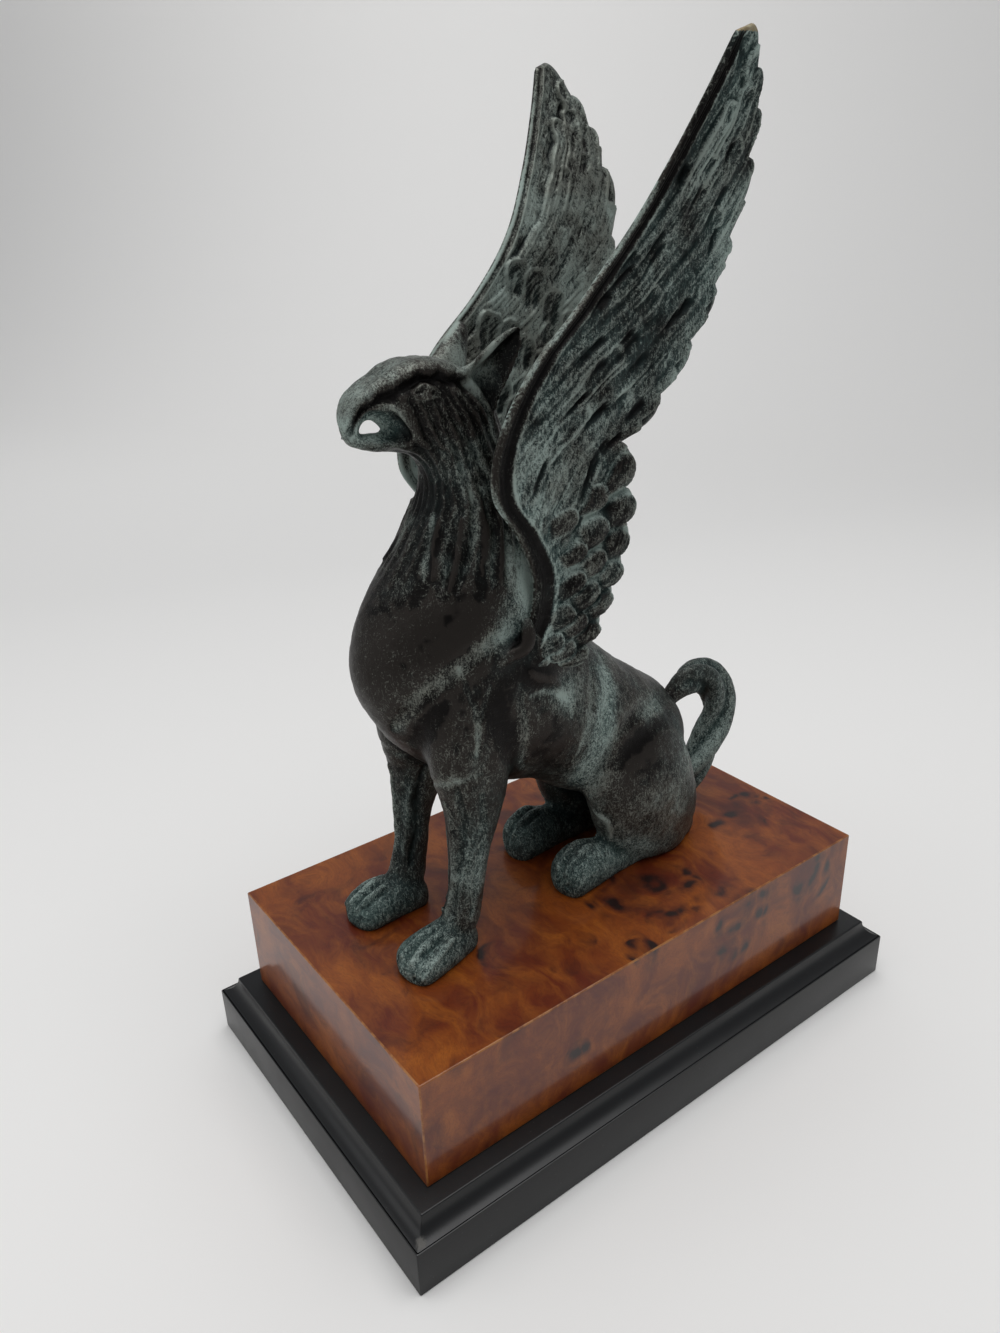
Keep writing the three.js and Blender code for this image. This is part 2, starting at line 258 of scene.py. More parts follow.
# A slice is [front y, front z, back y, back z, half width, middle x]
def slicedForm(bm, slices, steps, sides, swell=None, side=1):
    s = np.array(slices, float)

    def place(along, angle):
        front = alongCurve(s[:, [5, 0, 1]], along)
        back = alongCurve(s[:, [5, 2, 3]], along)
        width = np.maximum(alongCurve(s[:, [4]], along)[:, 0], 0)
        size = swell(along, angle) if swell else 1
        point = (front + back) / 2 + (front - back) / 2 * (size * np.cos(angle))[:, None]
        point[:, 0] += width * size * np.sin(angle)
        return point

    rolledForm(bm, steps, sides, place, side)


# Draws a face out: gives the new face and its corners, and drops the old face unless it stays as a cap
def extruded(bm, face, isCap):
    made = bmesh.ops.extrude_face_region(bm, geom=[face])["geom"]
    if not isCap:
        bmesh.ops.delete(bm, geom=[face], context="FACES_ONLY")
    moved = [g for g in made if isinstance(g, bmesh.types.BMVert)]
    return next(g for g in made if isinstance(g, bmesh.types.BMFace)), moved


# The mesh that a modifier gives; kind and settings are the modifier's own
def withModifier(mesh, kind, settings):
    obj = linkNew("working", mesh)
    modifier = obj.modifiers.new("step", kind)
    for name, value in settings.items():
        setattr(modifier, name, value)
    bpy.context.view_layer.update()
    made = bpy.data.meshes.new_from_object(obj.evaluated_get(bpy.context.evaluated_depsgraph_get()))
    bpy.data.objects.remove(obj)
    return made


def pointsOf(mesh):
    at = np.empty(3 * len(mesh.vertices))
    mesh.vertices.foreach_get("co", at)
    return at.reshape(-1, 3)


def normalsOf(mesh):
    out = np.empty(3 * len(mesh.vertices))
    mesh.vertex_normals.foreach_get("vector", out)
    return out.reshape(-1, 3)


def movePoints(mesh, at):
    mesh.vertices.foreach_set("co", np.ascontiguousarray(at).ravel())
    mesh.update()


def edgesOf(mesh):
    out = np.empty(2 * len(mesh.edges), int)
    mesh.edges.foreach_get("vertices", out)
    return out.reshape(-1, 2)


# Mean of each point's neighbours; values may be points or single numbers
def neighbourMean(values, edges):
    a, b = edges.T
    size = len(values)
    count = np.bincount(a, minlength=size) + np.bincount(b, minlength=size)
    columns = values.reshape(size, -1).T
    total = [np.bincount(a, c[b], size) + np.bincount(b, c[a], size) for c in columns]
    return (np.array(total) / np.maximum(count, 1)).T.reshape(values.shape)


# Fills the creases between joined forms, as in wax before casting, and leaves the crests
def fillCreases(mesh, rounds, most):
    at, edges = pointsOf(mesh), edgesOf(mesh)
    for _ in range(rounds):
        movePoints(mesh, at)
        normal = normalsOf(mesh)
        pull = neighbourMean(at, edges) - at
        out = (pull * normal).sum(1)
        at = at + pull * (np.where(out > 0, 0.7, 0.12) * most(at))[:, None]
    movePoints(mesh, at)


# Which points lie within reach of the box round a line, how far each is from the line, and its share along it
def alongLine(at, line, reach):
    near = np.flatnonzero(((at > line.min(0) - reach) & (at < line.max(0) + reach)).all(1))
    p = at[near]
    best = np.full(len(p), 1e9)
    share = np.zeros(len(p))
    for k, (a, b) in enumerate(zip(line[:-1], line[1:])):
        t = unit((p - a) @ (b - a) / max((b - a) @ (b - a), 1e-9))
        far = lengths(p - a - t[:, None] * (b - a))
        closer = far < best
        best[closer] = far[closer]
        share[closer] = (k + t[closer]) / (len(line) - 1)
    return near, best, share


def mirrored(at):
    return np.column_stack((np.abs(at[:, 0]), at[:, 1:]))


# How near each point is to a smooth line, from 1 on it to 0 at its radius, on both sides of the figure;
# the line is narrower towards its ends
def nearLine(at, points, radius):
    line = alongCurve(points, np.linspace(0, 1, 6 * (len(points) - 1) + 1))
    near, best, share = alongLine(mirrored(at), line, radius)
    width = radius * (1 - 0.6 * (1 - np.sqrt(unit(4 * share * (1 - share)))))
    weight = np.zeros(len(at))
    weight[near] = unit(1 - (best / width) ** 2) ** 2
    return weight


# Even, seeded noise between about -1 and 1; size is how many millimetres its largest lumps take
def roughness(at, size, seed, octaves=3):
    table = np.random.default_rng(seed).uniform(-1, 1, (32, 32, 32))
    total = np.zeros(len(at))
    for octave in range(octaves):
        p = at / size * 2 ** octave + 7.3 * octave
        cell = np.floor(p).astype(int)
        t = p - cell
        t = t * t * (3 - 2 * t)
        for corner in range(8):
            step = np.array([corner & 1, corner >> 1 & 1, corner >> 2])
            index = (cell + step) % 32
            total += np.where(step, t, 1 - t).prod(axis=1) * table[tuple(index.T)] / 2 ** octave
    return total


# Body: its outlines, and how finely each is drawn

figure = {
    "voxel": 0.72,       # of the mesh that all forms are cast into
    "faces": 190000,     # triangles in one piece at most
    "tipWear": 267.4,    # height over which the near wing's tip is worn bare
    "body": [
        [56, 38, 56, 38, 0, 0], [45, 22, 56, 50, 14, 0], [32, 14, 49, 61.5, 20, 0],
        [14, 26, 36.8, 71.3, 22.5, 0], [-4, 37, 22.8, 81.8, 23.5, 0], [-18, 46.5, 9.2, 94, 24.5, 0],
        [-34, 52, -2.6, 106, 26, 0], [-51.5, 61, -8.6, 117, 26.5, 0], [-67.4, 77.5, -12, 127.5, 26, 0],
        [-76.2, 96, -14.5, 137.5, 24.3, 0], [-73.4, 113, -17, 147, 20.4, 0],
        [-62.8, 127.5, -19.5, 156.5, 16.2, 0], [-54.2, 139.5, -22, 166, 13.6, 0],
        [-48.4, 149.5, -25, 175.5, 12, 0], [-47.8, 158, -31, 184, 11.5, 0],
        [-52.2, 164.4, -38, 188.6, 11.2, 0], [-57.8, 166.4, -46.5, 191.2, 10.7, 0],
        [-61.5, 167, -55.5, 190.6, 9.8, 0], [-65.5, 167.6, -61.5, 187.9, 8.2, 0],
        [-69, 168.6, -67, 185.4, 6.3, 0], [-72.2, 170.6, -71.6, 182.2, 4.1, 0],
        [-74.4, 176, -74.4, 176, 0, 0],
    ],
    "frontLeg": [
        [-50, 112, -50, 112, 0, 18], [-59, 100, -42, 101, 5.4, 17.8], [-62.6, 85, -35, 84, 8.6, 16.8],
        [-62, 70, -34, 64, 10.3, 15.4], [-58.4, 54, -38.6, 49, 7.9, 16.3],
        [-57.8, 38, -44, 35.5, 5.4, 17], [-59.4, 23, -46.6, 21, 5, 17],
        [-62.6, 12.5, -49.5, 9.5, 5.4, 16.6], [-57, 3, -57, 3, 0, 16.4],
    ],
    "frontPaw": [
        [-48.5, 4, -48.5, 4, 0, 15], [-51.5, 9, -51.5, -2, 5.2, 15.2], [-57, 12.5, -57, -3, 7, 15.8],
        [-64, 13.2, -64, -3, 8.4, 16.6], [-71, 11.6, -71, -3, 9.2, 17.2],
        [-76.6, 8.2, -76.6, -2.5, 8, 17.4], [-80.4, 2.5, -80.4, 2.5, 0, 17.2],
    ],
    "haunch": [
        [28, 62, 28, 62, 0, 13], [6, 56, 41, 55, 9.5, 14], [0, 45, 48.5, 43, 12, 15],
        [3, 33, 52.8, 30, 12.6, 15.6], [7, 20, 55.8, 17, 11.8, 15.4], [13, 9, 55.5, 8, 10, 14.8],
        [24, 1, 50, 0, 8, 14.2], [38, -3, 38, -3, 0, 14],
    ],
    "hindFoot": [
        [57, 6, 57, 6, 0, 13.5], [54, 13, 54, -2, 5, 13.5], [44, 14, 44, -3, 6, 14],
        [28, 12.5, 28, -3, 6, 14], [14, 13, 14, -3, 6.3, 14.2], [4, 16, 4, -3, 7.7, 14.6],
        [-3, 16.8, -3, -3, 8.5, 14.8], [-8.8, 12.6, -8.8, -3, 7.6, 14.8],
        [-12.6, 4, -12.6, 4, 0, 14.6],
    ],
    "shoulder": {"size": (8, 20, 17), "tilt": -0.5, "middle": (19, -30, 98)},
    "jowl": {"size": (2.8, 3.2, 5.8), "tilt": 0.35, "middle": (5, -40.8, 161)},
    "ear": {
        "base": (7, -36.5, 176.5), "tip": (14.4, -22.4, 196.8), "across": (0, 0.65, -0.76),
        "halfWidth": 9.8, "thickness": 4.8,
    },
    "tail": [
        [48, 46], [57.5, 51.5], [64.5, 55.7], [71.5, 56.8], [78.6, 53.8], [84.2, 46.4], [85.6, 37],
        [82.6, 27], [76.2, 17], [67, 9.5], [55, 6],
    ],
    "tailRadius": [3.2, 3.7, 5, 6, 6.6, 6.7, 6.5, 6.6, 6, 5, 3.5],
    "hook": [
        (26.4, -32.2, 117.2), (27.6, -32.7, 112.8), (28.2, -33.4, 109.9), (28, -35.7, 107.7),
        (27, -39.4, 106.5), (25.8, -43.2, 104.6),
    ],
    "hookRadius": [1.4, 2.2, 2.5, 2.2, 1.8, 1.1],
    "mouth": [
        [-57.5, 168.9], [-66, 169.4], [-72, 170.7], [-72.9, 173], [-71.3, 176.4], [-67.3, 179],
        [-61.5, 178.2], [-57, 174.6], [-55.2, 170.6],
    ],
    "mouthMiddle": (0, -66, 174),
    "mouthSizes": [(9, 1), (6, 0.92), (3, 0.66), (0.8, 0.45)],  # distance from the middle, and size there
    "limbs": [("frontLeg", 90, 48), ("frontPaw", 60, 60), ("haunch", 70, 60), ("hindFoot", 80, 60)],
}


def bodySwell(along, angle):
    fromFront = np.abs(angle)
    beyond = 1 - ramp(along, 0.92, 0.98)
    cheek = 0.1 * ramp(along, 0.66, 0.76) * beyond * bump(fromFront, 1.5, 0.5)
    brow = 0.065 * ramp(along, 0.56, 0.68) * beyond * bump(fromFront, 2.3, 0.4)
    return 1 - cheek + brow


def padForm(bm, pad, side):
    turned = Matrix.Rotation(pad["tilt"], 4, "X") @ Matrix.Diagonal((*pad["size"], 1))
    placed = Matrix.Diagonal((side, 1, 1, 1)) @ (Matrix.Translation(pad["middle"]) @ turned)
    bmesh.ops.create_uvsphere(bm, u_segments=32, v_segments=24, radius=1, matrix=placed)


def earForm(bm, side):
    ear = figure["ear"]
    base, across = Vector(ear["base"]), Vector(ear["across"])
    rise = Vector(ear["tip"]) - base
    outward = across.cross(rise).normalized()

    def place(along, angle):
        ends = np.sqrt(unit(along * 12))
        wide = ends * ear["halfWidth"] * (1 - along) ** 0.42 * np.cos(angle) * (1 - 0.3 * along)
        thick = ends * ear["thickness"] * (1 - 0.45 * along) * unit((1 - along) * 12) ** 0.5
        front = np.sin(angle)
        dish = np.where(front > 0, front * (1.2 - 1.9 * front), front)  # hollow in front, with a rounded rim
        return (np.array(base) + along[:, None] * rise + wide[:, None] * np.array(across)
                + (thick * dish)[:, None] * np.array(outward))

    rolledForm(bm, 60, 64, place, side)


# A round form along a line of points, its radius swelling with place(along, angle)
def tubeForm(bm, points, radii, steps, sides, side, swell, flat):
    line = np.array(points, float)
    thickness = np.array(radii, float)[:, None]

    def place(along, angle):
        step = alongCurve(line, along + 0.002) - alongCurve(line, along - 0.002)
        up = np.cross(step, (1, 0, 0))
        up /= np.maximum(lengths(up), 1e-9)[:, None]
        out = np.cross(up, step)
        out /= np.maximum(lengths(out), 1e-9)[:, None]
        radius = alongCurve(thickness, along)[:, 0] * np.sqrt(unit(30 * along * (1 - along)))
        radius *= swell(along, angle) if swell else 1
        return (alongCurve(line, along) + (radius * np.cos(angle))[:, None] * up
                + (flat * radius * np.sin(angle))[:, None] * out)

    rolledForm(bm, steps, sides, place, side)


# Three thick strands twisted together
def tailSwell(along, angle):
    strand = np.abs(np.cos(1.5 * angle + math.pi * 3.2 * along)) - 0.6
    return 1 + 0.6 * strand * ramp(along, 0.08, 0.2)


# The hollow of the open beak: its outline, carried through the head and narrowed in the middle
def mouthMesh():
    middle, outline, sizes = Vector(figure["mouthMiddle"]), figure["mouth"], figure["mouthSizes"]
    x, size = sizes[0]
    bm = bmesh.new()
    ring = [bm.verts.new((x, y, z)) for y, z in alongCurve(outline + outline[:1], np.linspace(0, 1, 46))[:-1]]
    face = bm.faces.new(ring)
    through = sizes[1:] + [(-away, there) for away, there in reversed(sizes)]
    for step, (nextX, nextSize) in enumerate(through):
        face, moved = extruded(bm, face, step == 0)
        grow = nextSize / size
        bmesh.ops.scale(bm, vec=(1, grow, grow), space=Matrix.Translation(-middle), verts=moved)
        bmesh.ops.translate(bm, vec=(nextX - x, 0, 0), verts=moved)
        x, size = nextX, nextSize
    bmesh.ops.recalc_face_normals(bm, faces=bm.faces)
    return meshFrom(bm, "mouth")


# The body with its beak hollowed, then all other forms joined to it
def castForms():
    bm = bmesh.new()
    slicedForm(bm, figure["body"], 260, 160, bodySwell)
    mouth = linkNew("mouth", mouthMesh())
    hollowed = {"operation": "DIFFERENCE", "object": mouth, "solver": "MANIFOLD"}
    body = withModifier(closedMesh(bm), "BOOLEAN", hollowed)
    bpy.data.objects.remove(mouth)
    bm = bmesh.new()
    for side in (1, -1):
        padForm(bm, figure["shoulder"], side)
        padForm(bm, figure["jowl"], side)
    for side in (1, -1):
        for name, steps, sides in figure["limbs"]:
            slicedForm(bm, figure[name], steps, sides, None, side)
        earForm(bm, side)
        tubeForm(bm, figure["hook"], figure["hookRadius"], 30, 20, side, None, 0.8)
    tubeForm(bm, [(0, y, z) for y, z in figure["tail"]], figure["tailRadius"], 220, 90, 1, tailSwell, 0.85)
    bm.from_mesh(body)
    return closedMesh(bm)


# Lines carved or raised on the left side and mirrored: points, radius of the line and its height in
# millimetres (negative for a groove), then how far its pale salts reach and how thick they lie
carving = [
    ([(8, -69.8, 84), (15.6, -67.4, 94.7), (19.4, -63.2, 100.1), (22.7, -56.3, 104.9), (24.3, -50, 109.1),
      (24.8, -44.1, 112.3), (24.8, -36, 113)], 5, -0.9, 4.2, 1.0),
    ([(23.2, -55.1, 106), (23.6, -52.7, 98.2), (24.3, -51, 91.2), (25, -50.6, 84.8), (24.5, -51, 76)], 1.5,
      -0.5, 1.4, 0.85),
    ([(25.2, -45.5, 98.5), (24.7, -47.3, 93.5), (24.7, -49.5, 87)], 1.4, -0.4, 1.3, 0.85),
    ([(26.3, -31.6, 90.6), (26.3, -25.6, 90), (25.7, -19, 87), (25.3, -14.6, 83.5), (25.5, -14, 77)], 1.6,
      -0.4, 1.6, 0.9),
    ([(26.2, -35.3, 96), (26.1, -34.6, 86.7), (24.5, -32.9, 74.9), (20, -30, 60)], 2.4, -0.45, 2.6, 0.6),
    ([(8, -58.6, 64), (14, -59.6, 65.6), (19, -59.8, 67.1), (22.5, -57.2, 69), (25.1, -50.8, 69.3)], 1.8,
      -0.35, 2.2, 0.5),
    ([(22, -57.5, 66), (21.5, -55.4, 49.2), (20.5, -56.6, 37.7), (19, -58.6, 26.1), (19.7, -61.2, 14.8)],
      2.1, -1.2, 2.6, 0.3),
    ([(24.8, -50, 62), (23.2, -50, 43.8), (22, -52.4, 29), (21.9, -55.1, 16.3)], 2.1, -0.8, 3, 0.5),
    ([(17, -60.5, 58), (17.6, -59.6, 44), (17.4, -60.6, 32), (16.8, -63, 20), (16.6, -67, 14.4)], 1.8, 0.8,
      2, 0.3),
    ([(9, -50, 60), (11, -52, 46), (12, -53, 32), (12.4, -56, 18)], 2.6, -1.4, 2.4, 0),
    ([(10.4, -55, 50), (12, -57, 36), (12.6, -59, 20)], 1.6, 0.8, 1.6, 0.2),
    ([(8.7, -46.7, 165.6), (8.4, -45.7, 161.6), (6.6, -45.8, 157), (2.5, -47.3, 155.6)], 1.2, -0.5, 2, 0.2),
    ([(5.1, -54.9, 167.4), (6, -51.3, 166.4), (8.3, -47.7, 165.6), (9, -45, 163.6)], 1.1, -0.45, 2, 0.1),
    # eye and brow
    ([(9.1, -55.9, 183.1), (9.2, -54.3, 184.2), (9.3, -52.4, 184.7), (9.6, -50, 184.3), (9.9, -48.3, 183.2),
      (10.1, -46.9, 181.8)], 1.2, 1.3, 1.2, 0.5),
    ([(9.3, -55.6, 182.6), (9.6, -53, 181.1), (9.8, -50.7, 180.8), (10.1, -47.9, 181.1)], 1.1, 1.1, 1.2,
      0.4),
    ([(8.7, -58.1, 183.6), (8.9, -54.9, 185.6), (8.9, -50.7, 186.3), (9.1, -46.2, 185.9),
      (9.5, -42, 184.1)], 1.3, -0.5, 1.6, 0.1),
    # hair from the cheek down the neck
    ([(9.3, -55.7, 179.3), (9.4, -54, 176.2), (9.2, -51.9, 172.6), (8.4, -49, 168.1), (8.4, -46.4, 163)],
      1.4, -0.7, 1.2, 0.35),
    ([(9.7, -51.3, 176.6), (9.7, -48.3, 171.5), (9.4, -45, 166.5), (9.7, -42.5, 160.4),
      (10.9, -42.3, 154.2), (12.8, -42.8, 150.3)], 1.5, -0.8, 1.3, 0.45),
    ([(10.4, -46.4, 176.9), (10.8, -43, 171.5), (11.2, -39.5, 165.4), (12.5, -37.2, 158),
      (14.8, -37.1, 151.1), (15.7, -36.6, 145.2)], 1.5, -0.8, 1.3, 0.4),
    ([(10.8, -43.8, 174.4), (11, -39.8, 168.8), (12.2, -36.5, 162.2), (13.3, -34.8, 154.8),
      (15.2, -34.7, 145.3)], 1.4, -0.7, 1.2, 0.35),
    ([(10.1, -48.3, 174.9), (10.3, -44.8, 168.9), (10.5, -41.9, 162.2), (12.1, -41, 155.7),
      (13.2, -41, 150)], 1.2, -0.6, 1.2, 0.4),
    ([(9.2, -36.9, 184.8), (10, -33.5, 179.9), (11, -31, 173.1), (11.4, -30, 166)], 1.5, -0.7, 1.8, 0.6),
    ([(7.5, -40.8, 186.7), (8.8, -36.8, 183.1), (9.6, -33.1, 177.8), (11, -31.3, 171.2)], 1.4, -0.6, 1.6,
      0.5),
    # rough valleys between the pointed locks of the mane, then the locks
    ([(5, -49.5, 147), (6.6, -52.5, 140.7), (8.4, -55.3, 135.4), (10.4, -57.5, 131)], 1.9, -0.45, 1.8,
      0.75),
    ([(11.1, -45.5, 147.5), (12.3, -48.2, 141.2), (13.6, -50.9, 135.7), (16.3, -54.2, 129)], 2.2, -1, 2.2,
      0.75),
    ([(12.5, -41, 154.5), (13.8, -41, 147.2), (16.1, -43.3, 139.5), (17.9, -48.1, 132.9),
      (19.3, -51.7, 127.3)], 1.7, -0.8, 1.4, 0.6),
    ([(13.3, -38, 153.7), (15.4, -37, 147.6), (17.3, -36.6, 139.9), (19.6, -38.8, 134.5),
      (21.8, -41.2, 127.4)], 1.6, -0.7, 1.3, 0.5),
    ([(16.7, -31.9, 142.1), (19.1, -32.5, 134.6), (22, -35.4, 126.9)], 1.7, -0.6, 1.4, 0.5),
    ([(8, -48.9, 145.6), (9.7, -51.9, 139.8), (11.7, -54.7, 134.5), (12.9, -56.1, 130)], 1.6, 0.6, 1.2,
      -0.9),
    ([(12.9, -44.5, 147), (15, -47.2, 140.1), (16.8, -50.6, 133.2), (18, -53.1, 128)], 1.9, 0.8, 1.4, -0.9),
    ([(13.4, -38.1, 153), (16, -38.7, 145.7), (18.6, -40.6, 137.9), (19.7, -43.2, 131)], 1.8, 0.8, 1.4,
      -0.8),
    ([(14.3, -34.6, 148.5), (16.5, -33.9, 142.4), (19.3, -35.7, 135.3), (21.6, -38.5, 128)], 1.8, 0.7, 1.4,
      -0.7),
    # flank, thigh and tail root
    ([(4.5, 66, 57), (11, 50, 62), (16.5, 35.6, 63.5), (21.3, 18.4, 65.3), (23.5, 7.1, 60.3),
      (20.6, 3, 48.7), (16.5, 2.1, 37)], 4.5, -0.9, 6, 0.5),
    ([(19.8, -1.2, 88.7), (23.1, -4, 82.7), (24.7, -6.3, 73.8), (22, -9, 60)], 2, -0.3, 1.8, 0.5),
    ([(12, 11, 89), (21.3, 4.7, 79.3), (24.1, 0.5, 68.6), (22.5, -3.4, 57.9), (13.8, -4, 43.1)], 5, -0.5, 3,
      0.3),
    ([(19.6, -6, 28), (20.8, 7.4, 25), (18.8, 10.3, 16.6)], 1.6, 0.7, 1.5, 0.5),
    ([(9.9, -35, 184.5), (11.3, -31.6, 191.8), (12.6, -28, 195), (14.2, -24, 197)], 1.3, 0.5, 1.6, 1.6),
    ([(26.8, -31.7, 98.9), (26.6, -27.7, 96.3), (25.9, -22.4, 93), (25.3, -19.1, 90.4)], 3.4, 0.8, 3, -0.5),
    # toes
    ([(12.6, -66, 13.4), (12.6, -74, 11), (12.4, -81, 2)], 1.5, -1.8, 1.4, 0),
    ([(16.8, -66, 13.8), (17.2, -74.5, 11.4), (17.4, -82, 2)], 1.5, -2, 1.4, 0),
    ([(21, -65, 12.6), (21.9, -73, 10.4), (22.6, -80, 2)], 1.5, -1.8, 1.4, 0),
    ([(14.7, -60, 17), (14.8, -70, 12.4), (15, -79, 7)], 1.7, 0.9, 1.4, 0.5),
    ([(19, -60, 16), (19.6, -70, 11.6), (20.2, -78, 7)], 1.7, 0.9, 1.4, 0.6),
    ([(23.4, -62, 12), (24, -70, 8), (24, -76, 3)], 1.6, 0.7, 1.4, 0.5),
    ([(11, 2, 16.4), (11, -5, 15), (11, -13, 4)], 1.5, -1.6, 1.4, 0),
    ([(15.2, 2, 17), (15.4, -6, 15.4), (15.4, -13.8, 4)], 1.5, -1.8, 1.4, 0),
    ([(19.4, 2, 16), (19.8, -5, 14), (19.8, -12.8, 4)], 1.5, -1.6, 1.4, 0),
    ([(13, 8, 16), (13.2, -3, 16), (13.2, -11, 9)], 1.6, 0.8, 1.4, 0.5),
    ([(17.4, 8, 16), (17.6, -3, 15.6), (17.6, -11, 9)], 1.6, 0.8, 1.4, 0.5),
    # raised rim of the open beak
    ([(2.4, -72.1, 171.9), (4.4, -71, 175.7), (5.4, -68.8, 178.7), (6.6, -65.7, 180.2), (7.9, -62.1, 180),
      (8.9, -58.4, 177), (8.1, -56, 173.1), (7.7, -55, 169.6)], 1.2, 0.8, 1.3, 0.6),
    ([(8.9, -56.6, 181), (9.6, -54, 177), (9.4, -53, 172), (8.6, -52, 168.6)], 1.1, -0.6, 1, 0),
]

# Soft patches: middle, reach, how green they are and how thickly flecked; negative is bare dark bronze
patches = [
    ((21, -28, 126), (6, 5, 11), 1, 1), ((24, -37, 113), (5, 9, 6), 0.5, 0.6),
    ((28, -35, 110), (3, 4, 4), -1, -1.4), ((26, -17, 86), (6, 8, 8), 0.6, 0.5),
    ((25, -27, 98), (5, 8, 4), -0.5, -0.8), ((20, 6, 80), (8, 5, 12), 0.9, 0.2),
    ((24, 1, 66), (7, 5, 12), 0.9, 0), ((19, -3, 48), (8, 5, 12), 0.8, 0.1),
    ((18, 30, 63), (8, 12, 4), 0.3, 0.2), ((24, 17, 54), (9, 9, 12), -0.5, -0.7),
    ((25, 36, 26), (8, 14, 20), 0.1, 0.25), ((22, 44, 44), (8, 6, 12), 0.3, 0.4),
    ((15, -70, 5), (14, 14, 9), 1.2, 0), ((15, -4, 7), (14, 16, 10), 0.8, -0.15),
    ((19, 20, 8), (8, 22, 8), 0.9, 0.1), ((22, -52, 36), (6, 8, 24), 0.4, 0.1),
    ((9, -56, 38), (5, 6, 26), 0.3, -0.3), ((10, -36, 184), (7, 7, 4), 0.3, 0.7),
    ((14.5, -28, 188), (3, 5, 7), 0, -0.5), ((7.5, -30, 189), (3, 6, 7), 0.2, 0.9),
    ((12, -42, 160), (8, 12, 14), 0.1, 0.3), ((22, -57, 117), (12, 12, 10), -0.8, -0.7),
    ((21, -62, 90), (9, 9, 12), -0.6, -0.5), ((6, -74, 112), (12, 12, 16), -0.3, -0.3),
    ((26, -42, 86), (7, 6, 13), -0.4, -0.6), ((26, -22, 74), (8, 9, 10), -0.4, -0.5),
    ((0, 78, 30), (12, 20, 34), 0.7, 0.3), ((12, 14, 36), (8, 14, 14), 0.5, 0),
    ((0, -64, 174), (6, 8, 4), 1.6, 0.8), ((0, 20, 84), (14, 30, 8), 0.2, 0.2),
    # the cheek in the recess under the cap: darker, as painted shade
    ((9, -47, 176), (7, 14, 12), -0.4, -0.5),
]


# Where creases between the forms are filled: not on the head, the tail or the hook at the wing's foot
def creaseShare(at):
    hook = np.abs(at) * (1, 1, 0.7)
    fromHook = lengths(hook - (27, 36, 77))
    away = np.where(at[:, 1] < 0, unit(fromHook / 8 - 0.3), 1)
    return (1 - ramp(at[:, 2], 150, 165)) * (1 - ramp(at[:, 1], 57, 62)) * away


def castBody():
    forms = castForms()
    mesh = withModifier(forms, "REMESH", {"mode": "VOXEL", "voxel_size": figure["voxel"]})
    print("body cast:", len(mesh.polygons), "faces")
    fillCreases(mesh, 34, creaseShare)
    fillCreases(mesh, 3, lambda at: 0.6 * np.ones(len(at)))
    return mesh


def keepAttribute(mesh, name, values):
    attribute = mesh.attributes.get(name) or mesh.attributes.new(name, "FLOAT", "POINT")
    attribute.data.foreach_set("value", np.ascontiguousarray(values, dtype=np.float32))


# Carved lines move points by height and lay their salts on green and flecks
def carveLines(at, height, green, flecks):
    tree = kdtree.KDTree(len(at))
    for i, p in enumerate(at):
        tree.insert(p, i)
    tree.balance()
    uneven = np.clip(0.85 + 0.6 * roughness(at, 7, 91, 2), 0.2, 1.4)
    wander = at + 0.45 * np.stack([roughness(at, 6, seed, 2) for seed in (31, 32, 33)], 1)
    for points, radius, rise, reach, salt in carving:
        snapped = [tree.find(p)[0] for p in points]
        height += rise * nearLine(wander, snapped, radius)
        near = nearLine(wander, snapped, 1.3 * reach) * uneven
        flecks += salt * near
        green += 0.3 * salt * near


# The head's cap: its lower edge in y and z, and how deep the cheek lies under it; then the eyeball
head = {
    "cap": [
        (-75, 172), (-71.8, 178.2), (-68.9, 181.4), (-65.6, 183.2), (-61.8, 184.9), (-58.1, 186.6),
        (-54.3, 187.7), (-50.4, 188), (-45.9, 187.4), (-40.6, 186.5), (-37, 184.9), (-33, 181),
    ],
    "ledge": 2.6, "cheek": 11,
    "eye": (9, -51.2, 182.7), "eyeRadius": 2.8, "eyeRise": 1.3, "pupilRadius": 0.9, "pupilDepth": 0.5,
}


def carveHead(at, height, green, flecks):
    x, y, z = mirrored(at).T
    above = z - np.interp(y, *np.transpose(head["cap"]))
    above += 0.35 * np.sin(y * 1.1) + 0.5 * roughness(at, 3.5, 77, 2)
    beforeNape = 1 - ramp(y, -38, -33)
    sides = ramp(z, 158, 166) * beforeNape * ramp(x, 1.5, 4)
    below = unit(-above / head["cheek"])
    height += sides * (0.9 * bump(above, 1.5, 2) - head["ledge"] * ramp(-above, 0, 1.1) * (1 - below) ** 1.6)
    # Top of the head: greener and more salted, partly patina and partly a painted highlight from the top
    # light; just under the cap's ledge, less green and fewer salts as painted shade
    crownSaltsAndLight = ramp(z, 160, 168) * beforeNape * ramp(above, -0.3, 0.8)
    green += 0.2 * crownSaltsAndLight - 0.5 * sides * bump(above, -2, 2)
    flecks += 0.35 * crownSaltsAndLight - 0.7 * sides * bump(above, -2, 2)
    eyeX, eyeY, eyeZ = head["eye"]
    away = np.linalg.norm((x - eyeX, y - eyeY, (z - eyeZ) * 1.35), axis=0)
    ball = head["eyeRise"] * unit(1 - (away / head["eyeRadius"]) ** 2)
    height += ball - head["pupilDepth"] * unit(1 - (away / head["pupilRadius"]) ** 2)


# Fine strands of hair follow the neck down
def carveHair(at, height):
    x, y, z = mirrored(at).T
    neck = ramp(z, 122, 136) * (1 - ramp(z, 176, 186)) * ramp(y * 0.75, -62, -38)
    around = np.arctan2(x, -(y + np.interp(z, (120, 150, 175, 190), (42, 36, 42, 48))))
    strands = np.sin(around * 26 + 1.4 * np.sin(z / 9) + 2 * roughness(at / (1, 1, 3), 14, 3, 1))
    height += 0.32 * neck * strands


